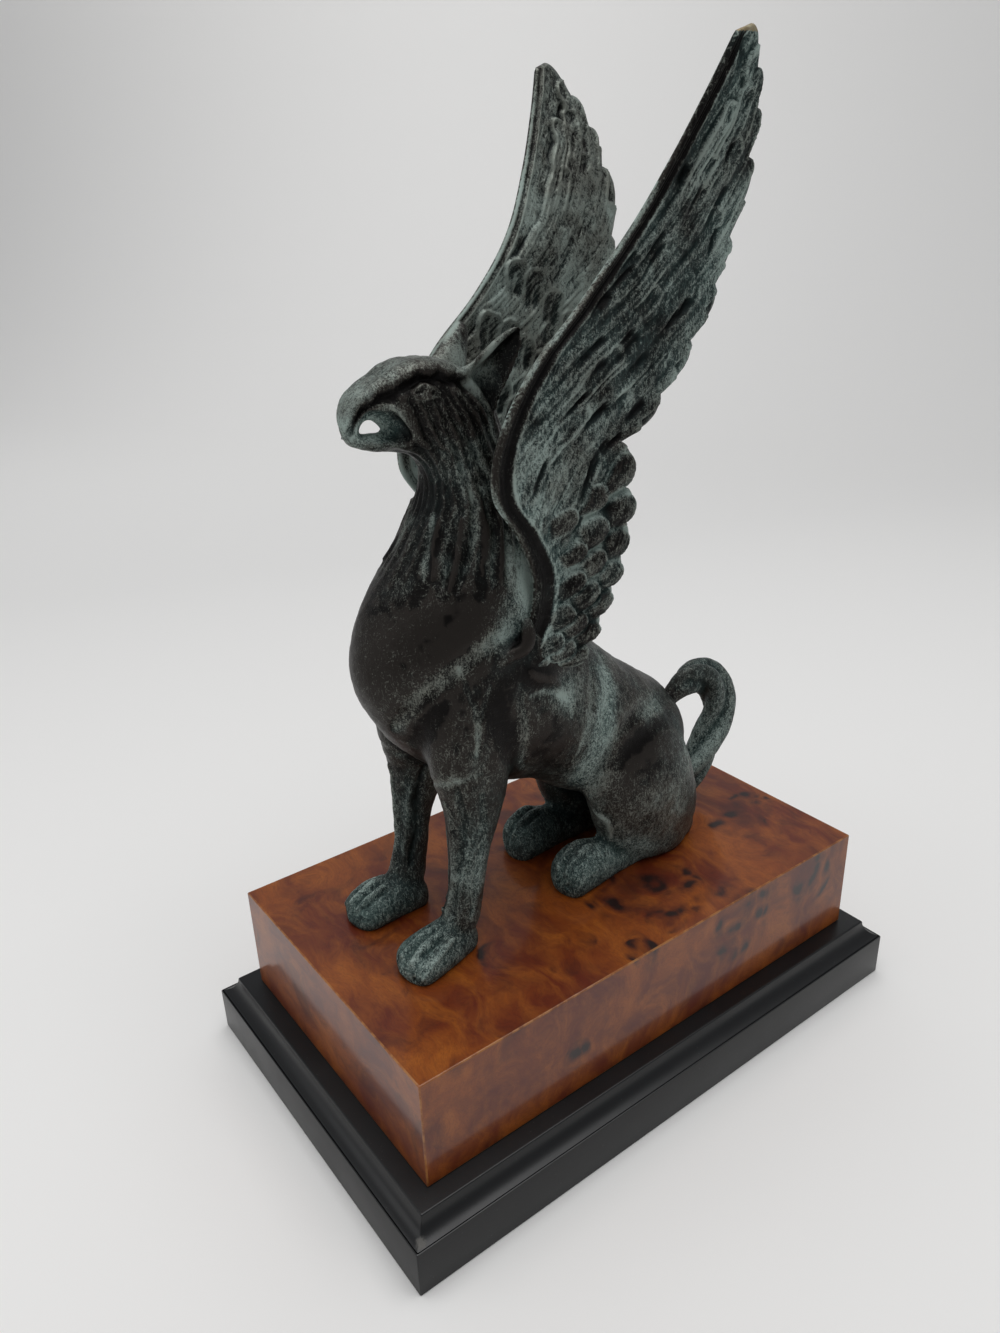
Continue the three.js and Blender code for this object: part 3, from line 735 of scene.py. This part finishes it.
def carveBody(mesh):
    at, edges = pointsOf(mesh), edgesOf(mesh)
    normal = normalsOf(mesh)
    for _ in range(6):
        normal = neighbourMean(normal, edges)
    normal /= lengths(normal)[:, None]
    height = np.zeros(len(at))
    green = np.full(len(at), 0.15)
    flecks = 0.3 + 0.25 * roughness(at, 26, 92, 2)
    carveLines(at, height, green, flecks)
    carveHead(at, height, green, flecks)
    carveHair(at, height)
    height += 0.12 * roughness(at, 2.4, 5, 2) + 0.3 * roughness(at, 13, 9, 2)
    folded = mirrored(at)
    for middle, reach, tint, salt in patches:
        near = np.exp(-(((folded - middle) / reach) ** 2).sum(1))
        green += tint * near
        flecks += salt * near
    movePoints(mesh, at + normal * height[:, None])
    keepAttribute(mesh, "verdigris", green)
    keepAttribute(mesh, "flecks", flecks)


# How hollow each point lies, from -1 on crests to 1 in creases, over a few millimetres
def hollows(mesh, rounds, scale):
    at, edges = pointsOf(mesh), edgesOf(mesh)
    mean = at
    for _ in range(rounds):
        mean = neighbourMean(mean, edges)
    return np.clip(((mean - at) * normalsOf(mesh)).sum(1) / scale, -1, 1)


def cutSoles(mesh):
    bm = bmesh.new()
    bm.from_mesh(mesh)
    geometry = bm.verts[:] + bm.edges[:] + bm.faces[:]
    cut = bmesh.ops.bisect_plane(bm, geom=geometry, plane_co=(0, 0, 0), plane_no=(0, 0, -1), clear_outer=True)
    rim = [g for g in cut["geom_cut"] if isinstance(g, bmesh.types.BMEdge)]
    bmesh.ops.holes_fill(bm, edges=rim)
    bmesh.ops.triangulate(bm, faces=bm.faces)
    bm.to_mesh(mesh)
    bm.free()


# Every piece rides on the one body, stands in for its CAD node, which it hides, and takes the material it is
# given
def addPiece(name, mesh, node, material):
    mesh.materials.clear()
    mesh.materials.append(material)
    piece = linkNew(name, mesh)
    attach(piece, "root")
    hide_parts(node)
    print(name, "made:", len(mesh.polygons), "faces")


# Turns a form in figure millimetres into a piece in the frame's metres; depth is how dark the painted shade
# in its hollows is
def addBronze(name, mesh, depth):
    ratio = min(1, figure["faces"] / (2 * len(mesh.polygons)))
    mesh = withModifier(mesh, "DECIMATE", {"ratio": ratio})
    fine = hollows(mesh, 10, 0.2)
    keepAttribute(mesh, "hollow", depth * (0.45 * fine + 0.75 * hollows(mesh, 60, 0.6)))
    at = pointsOf(mesh)
    wornTip = (at[:, 2] > figure["tipWear"]) & (at[:, 0] > 0)
    keepAttribute(mesh, "crest", np.where(wornTip, 2, -0.5 * fine))
    movePoints(mesh, at * mm + (0, 0, blockTop))
    mesh.shade_smooth()
    addPiece(name, mesh, "griffin", castBronze)


# Wings: outlines in y and z, sizes in millimetres

wing = {
    "stepsAcross": 116, "stepsAlong": 380,
    "leading": [
        (-42.5, 101.5), (-36.5, 104.5), (-30, 114), (-28, 127), (-33.5, 141), (-41.8, 154.5), (-39.2, 170),
        (-27.5, 187.5), (-10, 203.5), (5.4, 221), (15.8, 238.5), (23.4, 254.5), (28.8, 267.6),
    ],
    "notches": [
        (-14, 95), (-7.5, 102), (-3, 111), (2.5, 119), (5.6, 128), (7.8, 138), (8.8, 148.4), (5, 163),
        (21.8, 175), (34, 189.5), (43.2, 204.5), (47.4, 217.5), (47.8, 239), (45.2, 250.8), (40.6, 259.8),
        (32.2, 268.8),
    ],
    "shortLobes": 7, "shortBulge": 0.36, "longBulge": 0.2, "mostBulge": 4.4,
    "length": 190, "gouges": 28, "middle": 24.3, "bendHeight": 214, "bendSoftness": 9,
    "leadFlare": 0.31, "trailFlare": 0.2, "trailCurl": 0.0022,
    "plate": 2.4, "rollRoot": 3.4, "rollTip": 2.4, "lift": 1.8, "groove": 5,
    "scales": [
        (6.3, 213.6), (13.2, 210.1), (21.2, 203.5), (28, 196), (-5.3, 198.2), (2.2, 195.8), (8.4, 191.1),
        (14.5, 185), (-15, 184), (-8, 181.5), (-1.5, 178), (4.5, 172.5), (-22, 170), (-15, 168),
        (-8.5, 164.5),
    ],
    "scaleRoot": (-3.5, -14), "scaleHalf": 5.4, "scaleBowl": 1.0,
    # Rows of feathers: how many, share across and lobe of the first root, lobes from root to root, the
    # same for the tips, half width, how much narrower each is than the last, and depth of the bowl
    "rows": [
        (7, (0.7, 0.12), 1, (1.08, 0.5), 1, 5, -0.25, -2.4),  # round knobs along the trailing edge
        (8, (0.3, 4.6), 0.62, (0.99, 7.5), 1, 6.4, 0.25, 0.9),  # long quills
        (6, (0.46, 0.6), 1, (0.8, 1.0), 1, 4.7, -0.2, -1.9),
        (7, (0.2, 4.2), 0.85, (0.78, 7.0), 1.1, 4.8, 0.22, 1.2),
        (6, (0.24, 0.0), 1, (0.56, 0.5), 1, 4.4, 0, -1.1),
        (7, (0.1, 4.6), 0.85, (0.52, 6.8), 1.1, 4, 0.2, 0.9),
    ],
}


def leadingPoint(along):
    return alongCurve(wing["leading"], along)


def trailingPoint(lobes, bulging=True):
    notches = np.array(wing["notches"], float)
    index = np.clip((lobes + 1e-6).astype(int), 0, len(notches) - 2)
    t = unit(lobes - index)
    step = notches[index + 1] - notches[index]
    length = lengths(step)
    short = index < wing["shortLobes"]
    most = np.minimum(np.where(short, wing["shortBulge"], wing["longBulge"]), wing["mostBulge"] / length)
    bulge = most * np.sqrt(np.sin(math.pi * np.where(short, t, t ** 1.8))) * bulging
    return notches[index] + step * t[:, None] + np.stack((step[:, 1], -step[:, 0]), 1) * bulge[:, None]


def wingPoint(across, lobes):
    lead = leadingPoint(lobes / (len(wing["notches"]) - 1))
    return lead + (trailingPoint(lobes, False) - lead) * across[:, None]


def wingOut(across, z):
    over = z - wing["bendHeight"]
    above = (over + np.hypot(over, wing["bendSoftness"])) / 2
    lead = wing["leadFlare"] * above
    trail = wing["trailFlare"] * above + wing["trailCurl"] * above ** 2
    return wing["middle"] + lead + (trail - lead) * across


# Each feather: its centre line in the wing's plane from root to tip, half width and depth of its bowl.
# They come outermost row first, since each row lies over the roots of the one before.
def featherList(face):
    feathers = []
    last = len(wing["notches"]) - 1.0
    s = np.linspace(0, 1, 9)
    for count, root, rootStep, tip, tipStep, half, taper, bowl in wing["rows"]:
        across = root[0] + (tip[0] - root[0]) * s
        for i in range(count):
            l0, l1 = root[1] + rootStep * i, min(tip[1] + tipStep * i, last - 0.15)
            line = wingPoint(across, np.clip(l0 + (l1 - l0) * s, 0, last))
            feathers.append((line, half - taper * i, bowl))
    if face < 0:  # round scales stand upright on the inner face, over the quills' roots
        for tip in wing["scales"]:
            line = np.array(tip) + (1 - s[:, None]) * wing["scaleRoot"]
            feathers.append((line, wing["scaleHalf"], wing["scaleBowl"]))
    return feathers


# Height of the feathers over the wing's plate, and how near each point is to a feather's rim
def featherRelief(plane, face):
    spread = np.column_stack((plane, np.full(len(plane), 10.0 * face)))
    plane = plane + 0.9 * np.stack([roughness(spread, 9, face + k, 2) for k in (41, 42)], 1)
    crisp = unit(0.65 + 1.2 * roughness(spread, 13, face + 50, 1))  # some feathers are nearly lost
    height = np.full(len(plane), 0.2)
    rim = 1.8 * (1 - ramp(plane[:, 1], 145, 165))  # salts lie in the valleys between the low knobs
    for line, halfWidth, bowl in featherList(face):
        near, best, share = alongLine(plane, line, halfWidth)
        length = np.linalg.norm(line[-1] - line[0])
        toTip = (1 - share) * length
        toRound = unit(toTip / halfWidth)
        wide = halfWidth * np.sqrt(toRound * (2 - toRound)) * (0.75 + 0.25 * share)
        t = unit(best / np.maximum(wide, 1e-6))
        edge = np.minimum(wide - best, toTip)
        rise = wing["lift"] * (0.35 + 0.65 * share) - 0.35 * t ** 2
        hollowed = bowl * (0.3 + 0.7 * crisp[near]) * bump(toTip, 1.2 * halfWidth, 1.3 * halfWidth)
        lip = (0.75 + 0.4 * (length < 20)) * (bowl > 0) * crisp[near] * bump(edge, 0.9, 0.6)
        shaft = bump(best, 0, 0.5) * (1 - 0.8 * share) * (bowl > 0)
        barbs = 0.08 * np.sin((share * length - 0.9 * best) * 3.1)
        cover = ramp(edge, 0, 0.6) * ramp(share, 0.05, 0.3)
        raised = rise - hollowed * (1 - t ** 2) + lip * (0.2 + 0.8 * share) + 0.4 * shaft + barbs
        height[near] += (raised - height[near]) * cover
        if bowl > 0:
            salt = 1.4 * bump(edge, 0.8, 0.6) * crisp[near] * ramp(share, 0.1, 0.6) + 0.7 * shaft
        else:
            salt = 1.8 * bump(edge, 0, 1.2) - 0.8
        rim[near] += (salt - rim[near]) * cover
    return height, rim


# Scoops left by the modeller's tool along the long feathers: their depth at each point
def gougeDepth(plane, seed):
    chance = np.random.default_rng(seed)
    depth = np.zeros(len(plane))
    for _ in range(wing["gouges"]):
        across, lobe = chance.uniform(0.12, 0.9), chance.uniform(6.2, 14.6)
        middle, ahead = wingPoint(np.array([across, across + 0.1]), np.array([lobe, lobe + 0.7]))
        ahead = (ahead - middle) / np.linalg.norm(ahead - middle)
        offset = plane - middle
        u, v = offset @ ahead, offset @ (-ahead[1], ahead[0])
        length, width = chance.uniform(4, 9.5), chance.uniform(1.1, 1.9)
        scoop = unit(1 - (v / width) ** 2) * ramp(u, -length, 0.6 * length)
        scoop *= 1 - ramp(u, 0.7 * length, length)
        depth = np.maximum(depth, chance.uniform(0.8, 1.7) * scoop)
    return depth


def wingMesh(side):
    bm = bmesh.new()
    layers = [bm.verts.layers.float.new(name) for name in ("verdigris", "flecks")]
    steps = {"x_segments": wing["stepsAcross"], "y_segments": wing["stepsAlong"]}
    outer = bmesh.ops.create_grid(bm, size=0.5, **steps)["verts"]
    at = np.array([v.co for v in outer])
    across = unit(at[:, 0] + 0.5) ** 1.12
    along = unit(at[:, 1] + 0.5)
    lobes = along * (len(wing["notches"]) - 1)
    lead = leadingPoint(along)
    trail = trailingPoint(lobes)
    plane = lead + (trail - lead) * across[:, None]
    chord = lengths(trail - lead)
    fromLead = across * chord
    roll = np.minimum(wing["rollRoot"] + (wing["rollTip"] - wing["rollRoot"]) * along, 0.35 * chord)
    inRoll = unit(fromLead / roll)
    rollHalf = roll * np.sqrt(unit(inRoll * (1 - inRoll)))
    thinned = np.sqrt(unit((1 - across) * chord / 2.2))
    ends = np.sqrt(unit(np.minimum(along * 25, (1 - along) * 130)))
    middleX = wingOut(across, plane[:, 1])
    beyond = fromLead - roll
    upper = ramp(lobes, 6, 9)
    fromTrail = (1 - across) * chord
    length = along * wing["length"]
    shaped = []
    for face in (1, -1):  # 1 is the outer face, -1 the inner one
        groove = wing["groove"] * (1 - 0.75 * along) * (0.6 + 0.4 * face)
        calm = (face > 0) * (1 - upper) * (1 - ramp(across, 0.25, 0.4))  # plain low in front, outside
        relief, rim = featherRelief(plane, face)
        point = np.column_stack((middleX, plane))
        gouged = (0.65 + 0.35 * face) * gougeDepth(plane, 70 + face)
        relief -= gouged
        ridges = np.zeros(len(plane))
        for lean, share in ((0.9, 1 - upper), (0.22, upper)):  # streaks run along the feathers
            u = fromLead * math.cos(lean) - length * math.sin(lean)
            v = fromLead * math.sin(lean) + length * math.cos(lean)
            streak = (u / (1.9 + 0.6 * face), v / (8 + 4 * face), np.full(len(u), 5.0 * face))
            ridges += share * (0.35 - np.abs(roughness(np.column_stack(streak), 1, 21, 3)))
        relief = relief * (1 - 0.75 * calm) + 0.14 * ridges + 0.15 * roughness(point, 1.6, 3 + face, 2)
        bare = roughness(point, 15, 60 + face, 2)
        relief = relief * ramp(beyond, groove * 0.7, groove * 1.1) + 0.35 * bump(beyond, groove * 1.15, 0.8)
        relief -= 0.7 * (1 - 0.6 * along) * bump(beyond, groove * 0.45, groove * 0.35)
        plate = (wing["plate"] / 2 + relief) * thinned * ramp(inRoll, 0.6, 1)
        point[:, 0] += face * np.maximum(rollHalf * (0.8 + 0.2 * face), plate) * ends
        smooth = 1 - ramp(beyond, groove * 0.8, groove * 1.2)
        smooth = np.maximum(smooth, 0.7 * (1 - ramp(fromTrail, 0.3, 1.5))) * (0.7 + 0.3 * face)
        # A pale band along the middle of the roll's edge: rubbing with a painted highlight, laid on as green
        # and salts
        rubbed = bump(along, 0.6, 0.3) * bump(inRoll, 0.15, 0.25) * (1 + 1.5 * bare)  # pale edge of the roll
        green = 0.4 + 0.15 * face - 0.6 * smooth + 0.3 * bare + 0.35 * rim * (1 - upper) * (1 - smooth)
        flecks = 0.7 + 0.15 * (1 - upper) - 0.15 * face * upper + 0.5 * rim * (1 - calm)
        flecks = (flecks + 0.45 * ridges + 0.3 * bare) * (1 - smooth)
        flecks += 0.6 * (1 - 0.6 * upper) * (1 + bare) * bump(beyond, groove * 1.2, 0.6)
        # Painted shade: the gouged scoops lose green and salts and come out darker
        shaped.append((point, green + 0.5 * rubbed - 0.2 * gouged, flecks + 0.8 * rubbed - 0.35 * gouged))
    copies = bmesh.ops.duplicate(bm, geom=bm.verts[:] + bm.edges[:] + bm.faces[:])["vert_map"]
    for verts, (point, green, flecks) in zip((outer, [copies[v] for v in outer]), shaped):
        for v, co, tint, salt in zip(verts, point * (side, 1, 1), green, flecks):
            v.co = co
            v[layers[0]], v[layers[1]] = tint, salt
    return closedMesh(bm)


# Cast bronze, browned and then patinated: dark brown metal, lighter on the crests as a painted highlight,
# dull blue-green copper salts in patches, paler threads of them on rough parts; painted shade makes deep
# pockets nearly black, dark teal where salted
bronze = {
    "worn": "#5d5650", "crest": "#211f1e", "brown": "#0e0c0b", "pocketShadow": "#050505",
    "green": "#3c4e4c", "teal": "#1d2b2b", "film": "#586b66", "shadedPocket": "#0e2625", "pale": "#a0afa8",
    "dust": "#787b73", "bare": "#9a8a6a",
}


def bronzeMaterial():
    n = Nodes("patinated_cast_bronze")
    zone, flecks = n.attribute("verdigris"), n.attribute("flecks")
    hollow, crest = n.attribute("hollow"), n.attribute("crest")
    blotch = n.noise(24, 3, 0.6)
    patch = n.noise(7, 4, 0.65, (1, 1, 1.6), 0.6)
    thread = n.noise(1.3, 3, 0.7, (1, 1, 2.4), 1.5)
    speck = n.noise(0.45, 2, 0.6)
    curl = n.maths("ABSOLUTE", n.total((n.noise(2.2, 2, 0.5, (1, 1, 1.5), 1.2), 1), (0.5, -1)))
    brushed = n.noise(2.2, 3, 0.6, (3, 3, 0.3))
    amount = n.total((zone, 1), (blotch, 0.8), (patch, 0.8), (0.8, -1))
    salted = n.within(amount, 0, 0.9)
    dusty = n.total((patch, 0.6), (brushed, 0.4), (flecks, 0.2))
    brown = n.blend(n.within(dusty, 0.48, 0.7), bronze["brown"], bronze["crest"])
    # Painted highlight: convex crests are blended towards a lighter brown
    brown = n.blend(n.within(crest, 0.3, 0.9, 0, 0.7), brown, bronze["worn"])
    tint = n.blend(n.within(thread, 0.35, 0.65), bronze["teal"], bronze["green"])
    colour = n.blend(salted, brown, tint)
    film = n.total((n.maths("MINIMUM", amount, 1.05), 1), (thread, 1.7), (brushed, 1.2), (-1.45, 1))
    colour = n.blend(n.within(film, 0.6, 1.5, 0, 0.75), colour, bronze["film"])
    salt = n.total((speck, 0.5), (thread, 0.55), (n.within(curl, 0, 0.05, 1, 0), 0.14), (patch, 0.15),
                   (flecks, 0.3), (hollow, -0.08))
    salts = n.blend(salted, bronze["dust"], bronze["pale"])
    colour = n.blend(n.within(salt, 0.71, 1.05, 0, 0.9), colour, salts)
    crusted = n.total((amount, 0.5), (flecks, 1))
    # Painted shade: the deeper a point lies in a hollow, the darker it is painted, nearly black, and a dark
    # teal where salted; thick salts lessen it
    shadedPocket = n.times(n.within(hollow, 0.1, 1, 0, 0.9), n.within(crusted, 0.9, 1.8, 1, 0.15))
    colour = n.blend(shadedPocket, colour, n.blend(salted, bronze["pocketShadow"], bronze["shadedPocket"]))
    colour = n.blend(n.within(crest, 1.2, 1.8, 0, 0.8), colour, bronze["bare"])  # worn through
    return n.finished({
        "Base Color": colour,
        "Metallic": n.within(salted, 0, 1, 0.45, 0.05),
        "Roughness": n.within(salted, 0, 1, 0.42, 0.7),
        "Specular IOR Level": n.within(salted, 0, 1, 0.15, 0.25),
        "Normal": n.bump(n.total((thread, 0.7), (speck, 0.6)), 0.22, 0.7),
    })


castBronze = bronzeMaterial()


bodyMesh = castBody()
carveBody(bodyMesh)
cutSoles(bodyMesh)
addBronze("griffin_body", bodyMesh, 0.5)
addBronze("griffin_left_wing", wingMesh(1), 0.8)
addBronze("griffin_right_wing", wingMesh(-1), 0.8)


# Plinth: sizes in millimetres, slopes in degrees

plinth = {
    "edge": 0.45, "edgeSteps": 3, "wornWidth": 0.15, "sharp": 35,
    "margin": 12.3, "upright": 17.8, "ease": 0.4, "shelf": 6.1, "quirk": 0.35, "quirkDepth": 0.8,
    "hollowFrom": 20, "hollowTo": 85, "hollowSteps": 14, "lip": 0.6, "lipSteps": 5,
}


def addPlinthPiece(bm, name, node, material):
    bmesh.ops.scale(bm, vec=(mm, mm, mm), verts=bm.verts)
    bmesh.ops.recalc_face_normals(bm, faces=bm.faces)
    mesh = meshFrom(bm, name)
    mesh.shade_smooth()
    mesh.set_sharp_from_angle(angle=math.radians(plinth["sharp"]))
    addPiece(name, mesh, node, material)


# Burl veneer under satin lacquer: amber and red-brown clouds, curling figure and clusters of dark
# eyes in warm wood, with a clear coat whose sheen greys the upright sides
burl = {
    "red": "#5e1e03", "amber": "#84400a", "light": "#b0651c", "shade": "#3a1004", "eye": "#1d0602",
    "worn": "#a8713a", "drift": 0.025, "cell": 8,
    "knots": [  # middles of the eye clusters and their reach, in mm
        (28, -48, 0, 6), (40, -22, 0, 4), (28, 4, 0, 11), (38, 20, 0, 13), (50, 8, 0, 6), (24, 74, 0, 10),
        (20, 88, 0, 8), (56, -10, 0, 5), (46, -35, 0, 4), (58, 38, -12, 12), (58, 78, -12, 10),
        (58, -40, -25, 5),
    ],
}


def burlMaterial():
    n = Nodes("lacquered_burl_veneer")
    worn = n.attribute("worn")
    curl = [n.noise(size, 2, 0.5, stretch) for size, stretch in
            ((22, (1, 1, 1)), (24, (1.15, 1, 1)), (27, (1, 1.2, 1)))]
    drift = addNode(n.tree, "CombineXYZ", dict(zip("XYZ", curl))).outputs[0]
    moved = {0: drift, 1: 3 * (burl["drift"],), 2: n.place}
    warped = addNode(n.tree, "VectorMath", moved, operation="MULTIPLY_ADD").outputs[0]
    cloud = n.noise(30, 3, 0.55, place=warped)
    shading = n.noise(19, 4, 0.6, (1, 1, 1), 0.4, warped)
    grain = n.noise(8, 3, 0.6, (2.6, 0.9, 1.4), 0, warped)
    fine = n.noise(0.7, 3, 0.7, (3, 1, 1), 0, warped)
    cells = addNode(n.tree, "TexVoronoi", {"Vector": warped, "Scale": 1 / (burl["cell"] * mm)})
    eye = n.total((cells.outputs["Distance"], 1), (n.noise(3, 3, 0.7), 0.35))
    clusters = 0.0
    for x, y, down, reach in burl["knots"]:
        away = n.away((x * mm, y * mm, down * mm + blockTop))
        near = n.within(away, 0.6 * reach * mm, 1.6 * reach * mm, 1, 0)
        clusters = n.maths("MAXIMUM", clusters, near)
    clusters = n.total((clusters, 1), (n.noise(12, 3, 0.6), 1), (-0.5, 1))
    colour = n.blend(n.within(cloud, 0.38, 0.62), burl["red"], burl["amber"])
    colour = n.blend(n.within(grain, 0.35, 0.85, 0, 0.6), colour, burl["light"])
    colour = n.blend(n.within(shading, 0.25, 0.5, 0.75, 0), colour, burl["shade"])
    colour = n.blend(n.within(fine, 0.3, 0.6, 0.3, 0), colour, burl["shade"])
    ring = n.times(n.within(eye, 0.35, 0.95, 0.85, 0), n.within(clusters, 0.1, 0.5))
    colour = n.blend(ring, colour, burl["shade"])
    spot = n.times(n.within(eye, 0.34, 0.58, 1, 0), n.within(clusters, 0.25, 0.5))
    colour = n.blend(spot, colour, burl["eye"])
    rubbed = n.within(n.noise(4, 3, 0.7), 0.42, 0.58, 0.25, 0.75)
    colour = n.blend(n.times(worn, rubbed), colour, burl["worn"])
    return n.finished({
        "Base Color": colour, "Roughness": 0.5, "Specular IOR Level": 0.3, "Coat Weight": 0.6,
        "Coat Roughness": 0.12, "Normal": n.bump(n.total((fine, 0.5), (grain, 0.5)), 0.03),
    })


def addBlock():
    low, high = [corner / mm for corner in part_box("burl_block")]
    bm = bmesh.new()
    layer = bm.verts.layers.float.new("worn")
    bmesh.ops.create_cube(bm, size=1)
    bmesh.ops.scale(bm, vec=high - low, verts=bm.verts)
    bmesh.ops.translate(bm, vec=(high + low) / 2, verts=bm.verts)
    bmesh.ops.bevel(bm, geom=bm.edges[:], offset=plinth["edge"], segments=plinth["edgeSteps"],
                    profile=0.5, affect="EDGES", material=-1)
    sides = sorted(bm.faces, key=lambda face: face.calc_area())[-6:]
    for v in bm.verts:
        v[layer] = 1
    bmesh.ops.inset_individual(bm, faces=sides, thickness=plinth["wornWidth"])
    for face in sides:
        for v in face.verts:
            v[layer] = 0
    addPlinthPiece(bm, "burl_veneered_block", "burl_block", burlMaterial())


# Wood base sprayed with black lacquer: nearly black, satin, faintly uneven, grey where it is rubbed
lacquer = {"black": "#07080a", "dust": "#5b5b5b", "scuffed": "#5d5b57", "scuff": (68.6, -109.4, 18.9)}


def lacquerMaterial():
    n = Nodes("satin_black_lacquer")
    smudge = n.noise(30, 4, 0.6)
    dust = n.within(n.noise(0.9, 1, 0.5), 0.74, 0.8)
    away = n.away([v * mm for v in lacquer["scuff"]])
    scuff = n.within(n.total((away, 1 / mm), (n.noise(1.2, 3, 0.7), 2.4)), 2.2, 3.4, 0.8, 0.0)
    dusted = n.blend(n.times(dust, 0.25), lacquer["black"], lacquer["dust"])
    return n.finished({
        "Base Color": n.blend(scuff, dusted, lacquer["scuffed"]),
        "Roughness": n.total((n.within(smudge, 0.3, 0.7, 0.32, 0.4), 1.0), (scuff, 0.3)),
        "Specular IOR Level": 0.48,
        "Normal": n.bump(n.noise(1.5, 2, 0.5), 0.006),
    })


# The base's side from its underside up: how far in and how high each corner of the outline lies
def baseProfile(height):
    lip, ease, quirk, upright = (plinth[name] for name in ("lip", "ease", "quirk", "upright"))
    profile = [
        (ease, 0), (0, ease), (0, upright - ease), (0.3 * ease, upright - 0.3 * ease), (ease, upright),
        (ease + 0.5 * quirk, upright - plinth["quirkDepth"]), (ease + quirk, upright),
    ]
    low, high = math.radians(plinth["hollowFrom"]), math.radians(plinth["hollowTo"])
    across = (plinth["margin"] - plinth["shelf"] - ease - quirk - lip) / (math.sin(high) - math.sin(low))
    rise = (height - upright - lip) / (math.cos(low) - math.cos(high))
    for step in range(1, plinth["hollowSteps"] + 1):
        turn = low + (high - low) * step / plinth["hollowSteps"]
        profile.append((ease + quirk + across * (math.sin(turn) - math.sin(low)),
                        upright + rise * (math.cos(low) - math.cos(turn))))
    start = profile[-1]
    for step in range(1, plinth["lipSteps"] + 1):
        turn = math.pi / 2 * step / plinth["lipSteps"]
        profile.append((start[0] + lip * (1 - math.cos(turn)), start[1] + lip * math.sin(turn)))
    return profile


def addBase():
    low, high = [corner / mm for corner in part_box("black_base")]
    length, width = high.y - low.y, high.x - low.x
    profile = baseProfile(high.z)
    inset, level = profile[0]
    bm = bmesh.new()
    bmesh.ops.create_grid(bm, x_segments=1, y_segments=1, size=0.5)
    bmesh.ops.scale(bm, vec=(width - 2 * inset, length - 2 * inset, 1), verts=bm.verts)
    bmesh.ops.bevel(bm, geom=bm.verts[:], offset=plinth["edge"], segments=plinth["edgeSteps"],
                    profile=0.5, affect="VERTICES", material=-1)
    face = bm.faces[:][0]
    for step, (nextInset, nextLevel) in enumerate(profile[1:]):
        face, moved = extruded(bm, face, step == 0)
        shrink = [(size - 2 * nextInset) / (size - 2 * inset) for size in (width, length)] + [1]
        bmesh.ops.scale(bm, vec=shrink, verts=moved)
        bmesh.ops.translate(bm, vec=(0, 0, nextLevel - level), verts=moved)
        inset, level = nextInset, nextLevel
    addPlinthPiece(bm, "black_moulded_base", "black_base", lacquerMaterial())


addBlock()
addBase()
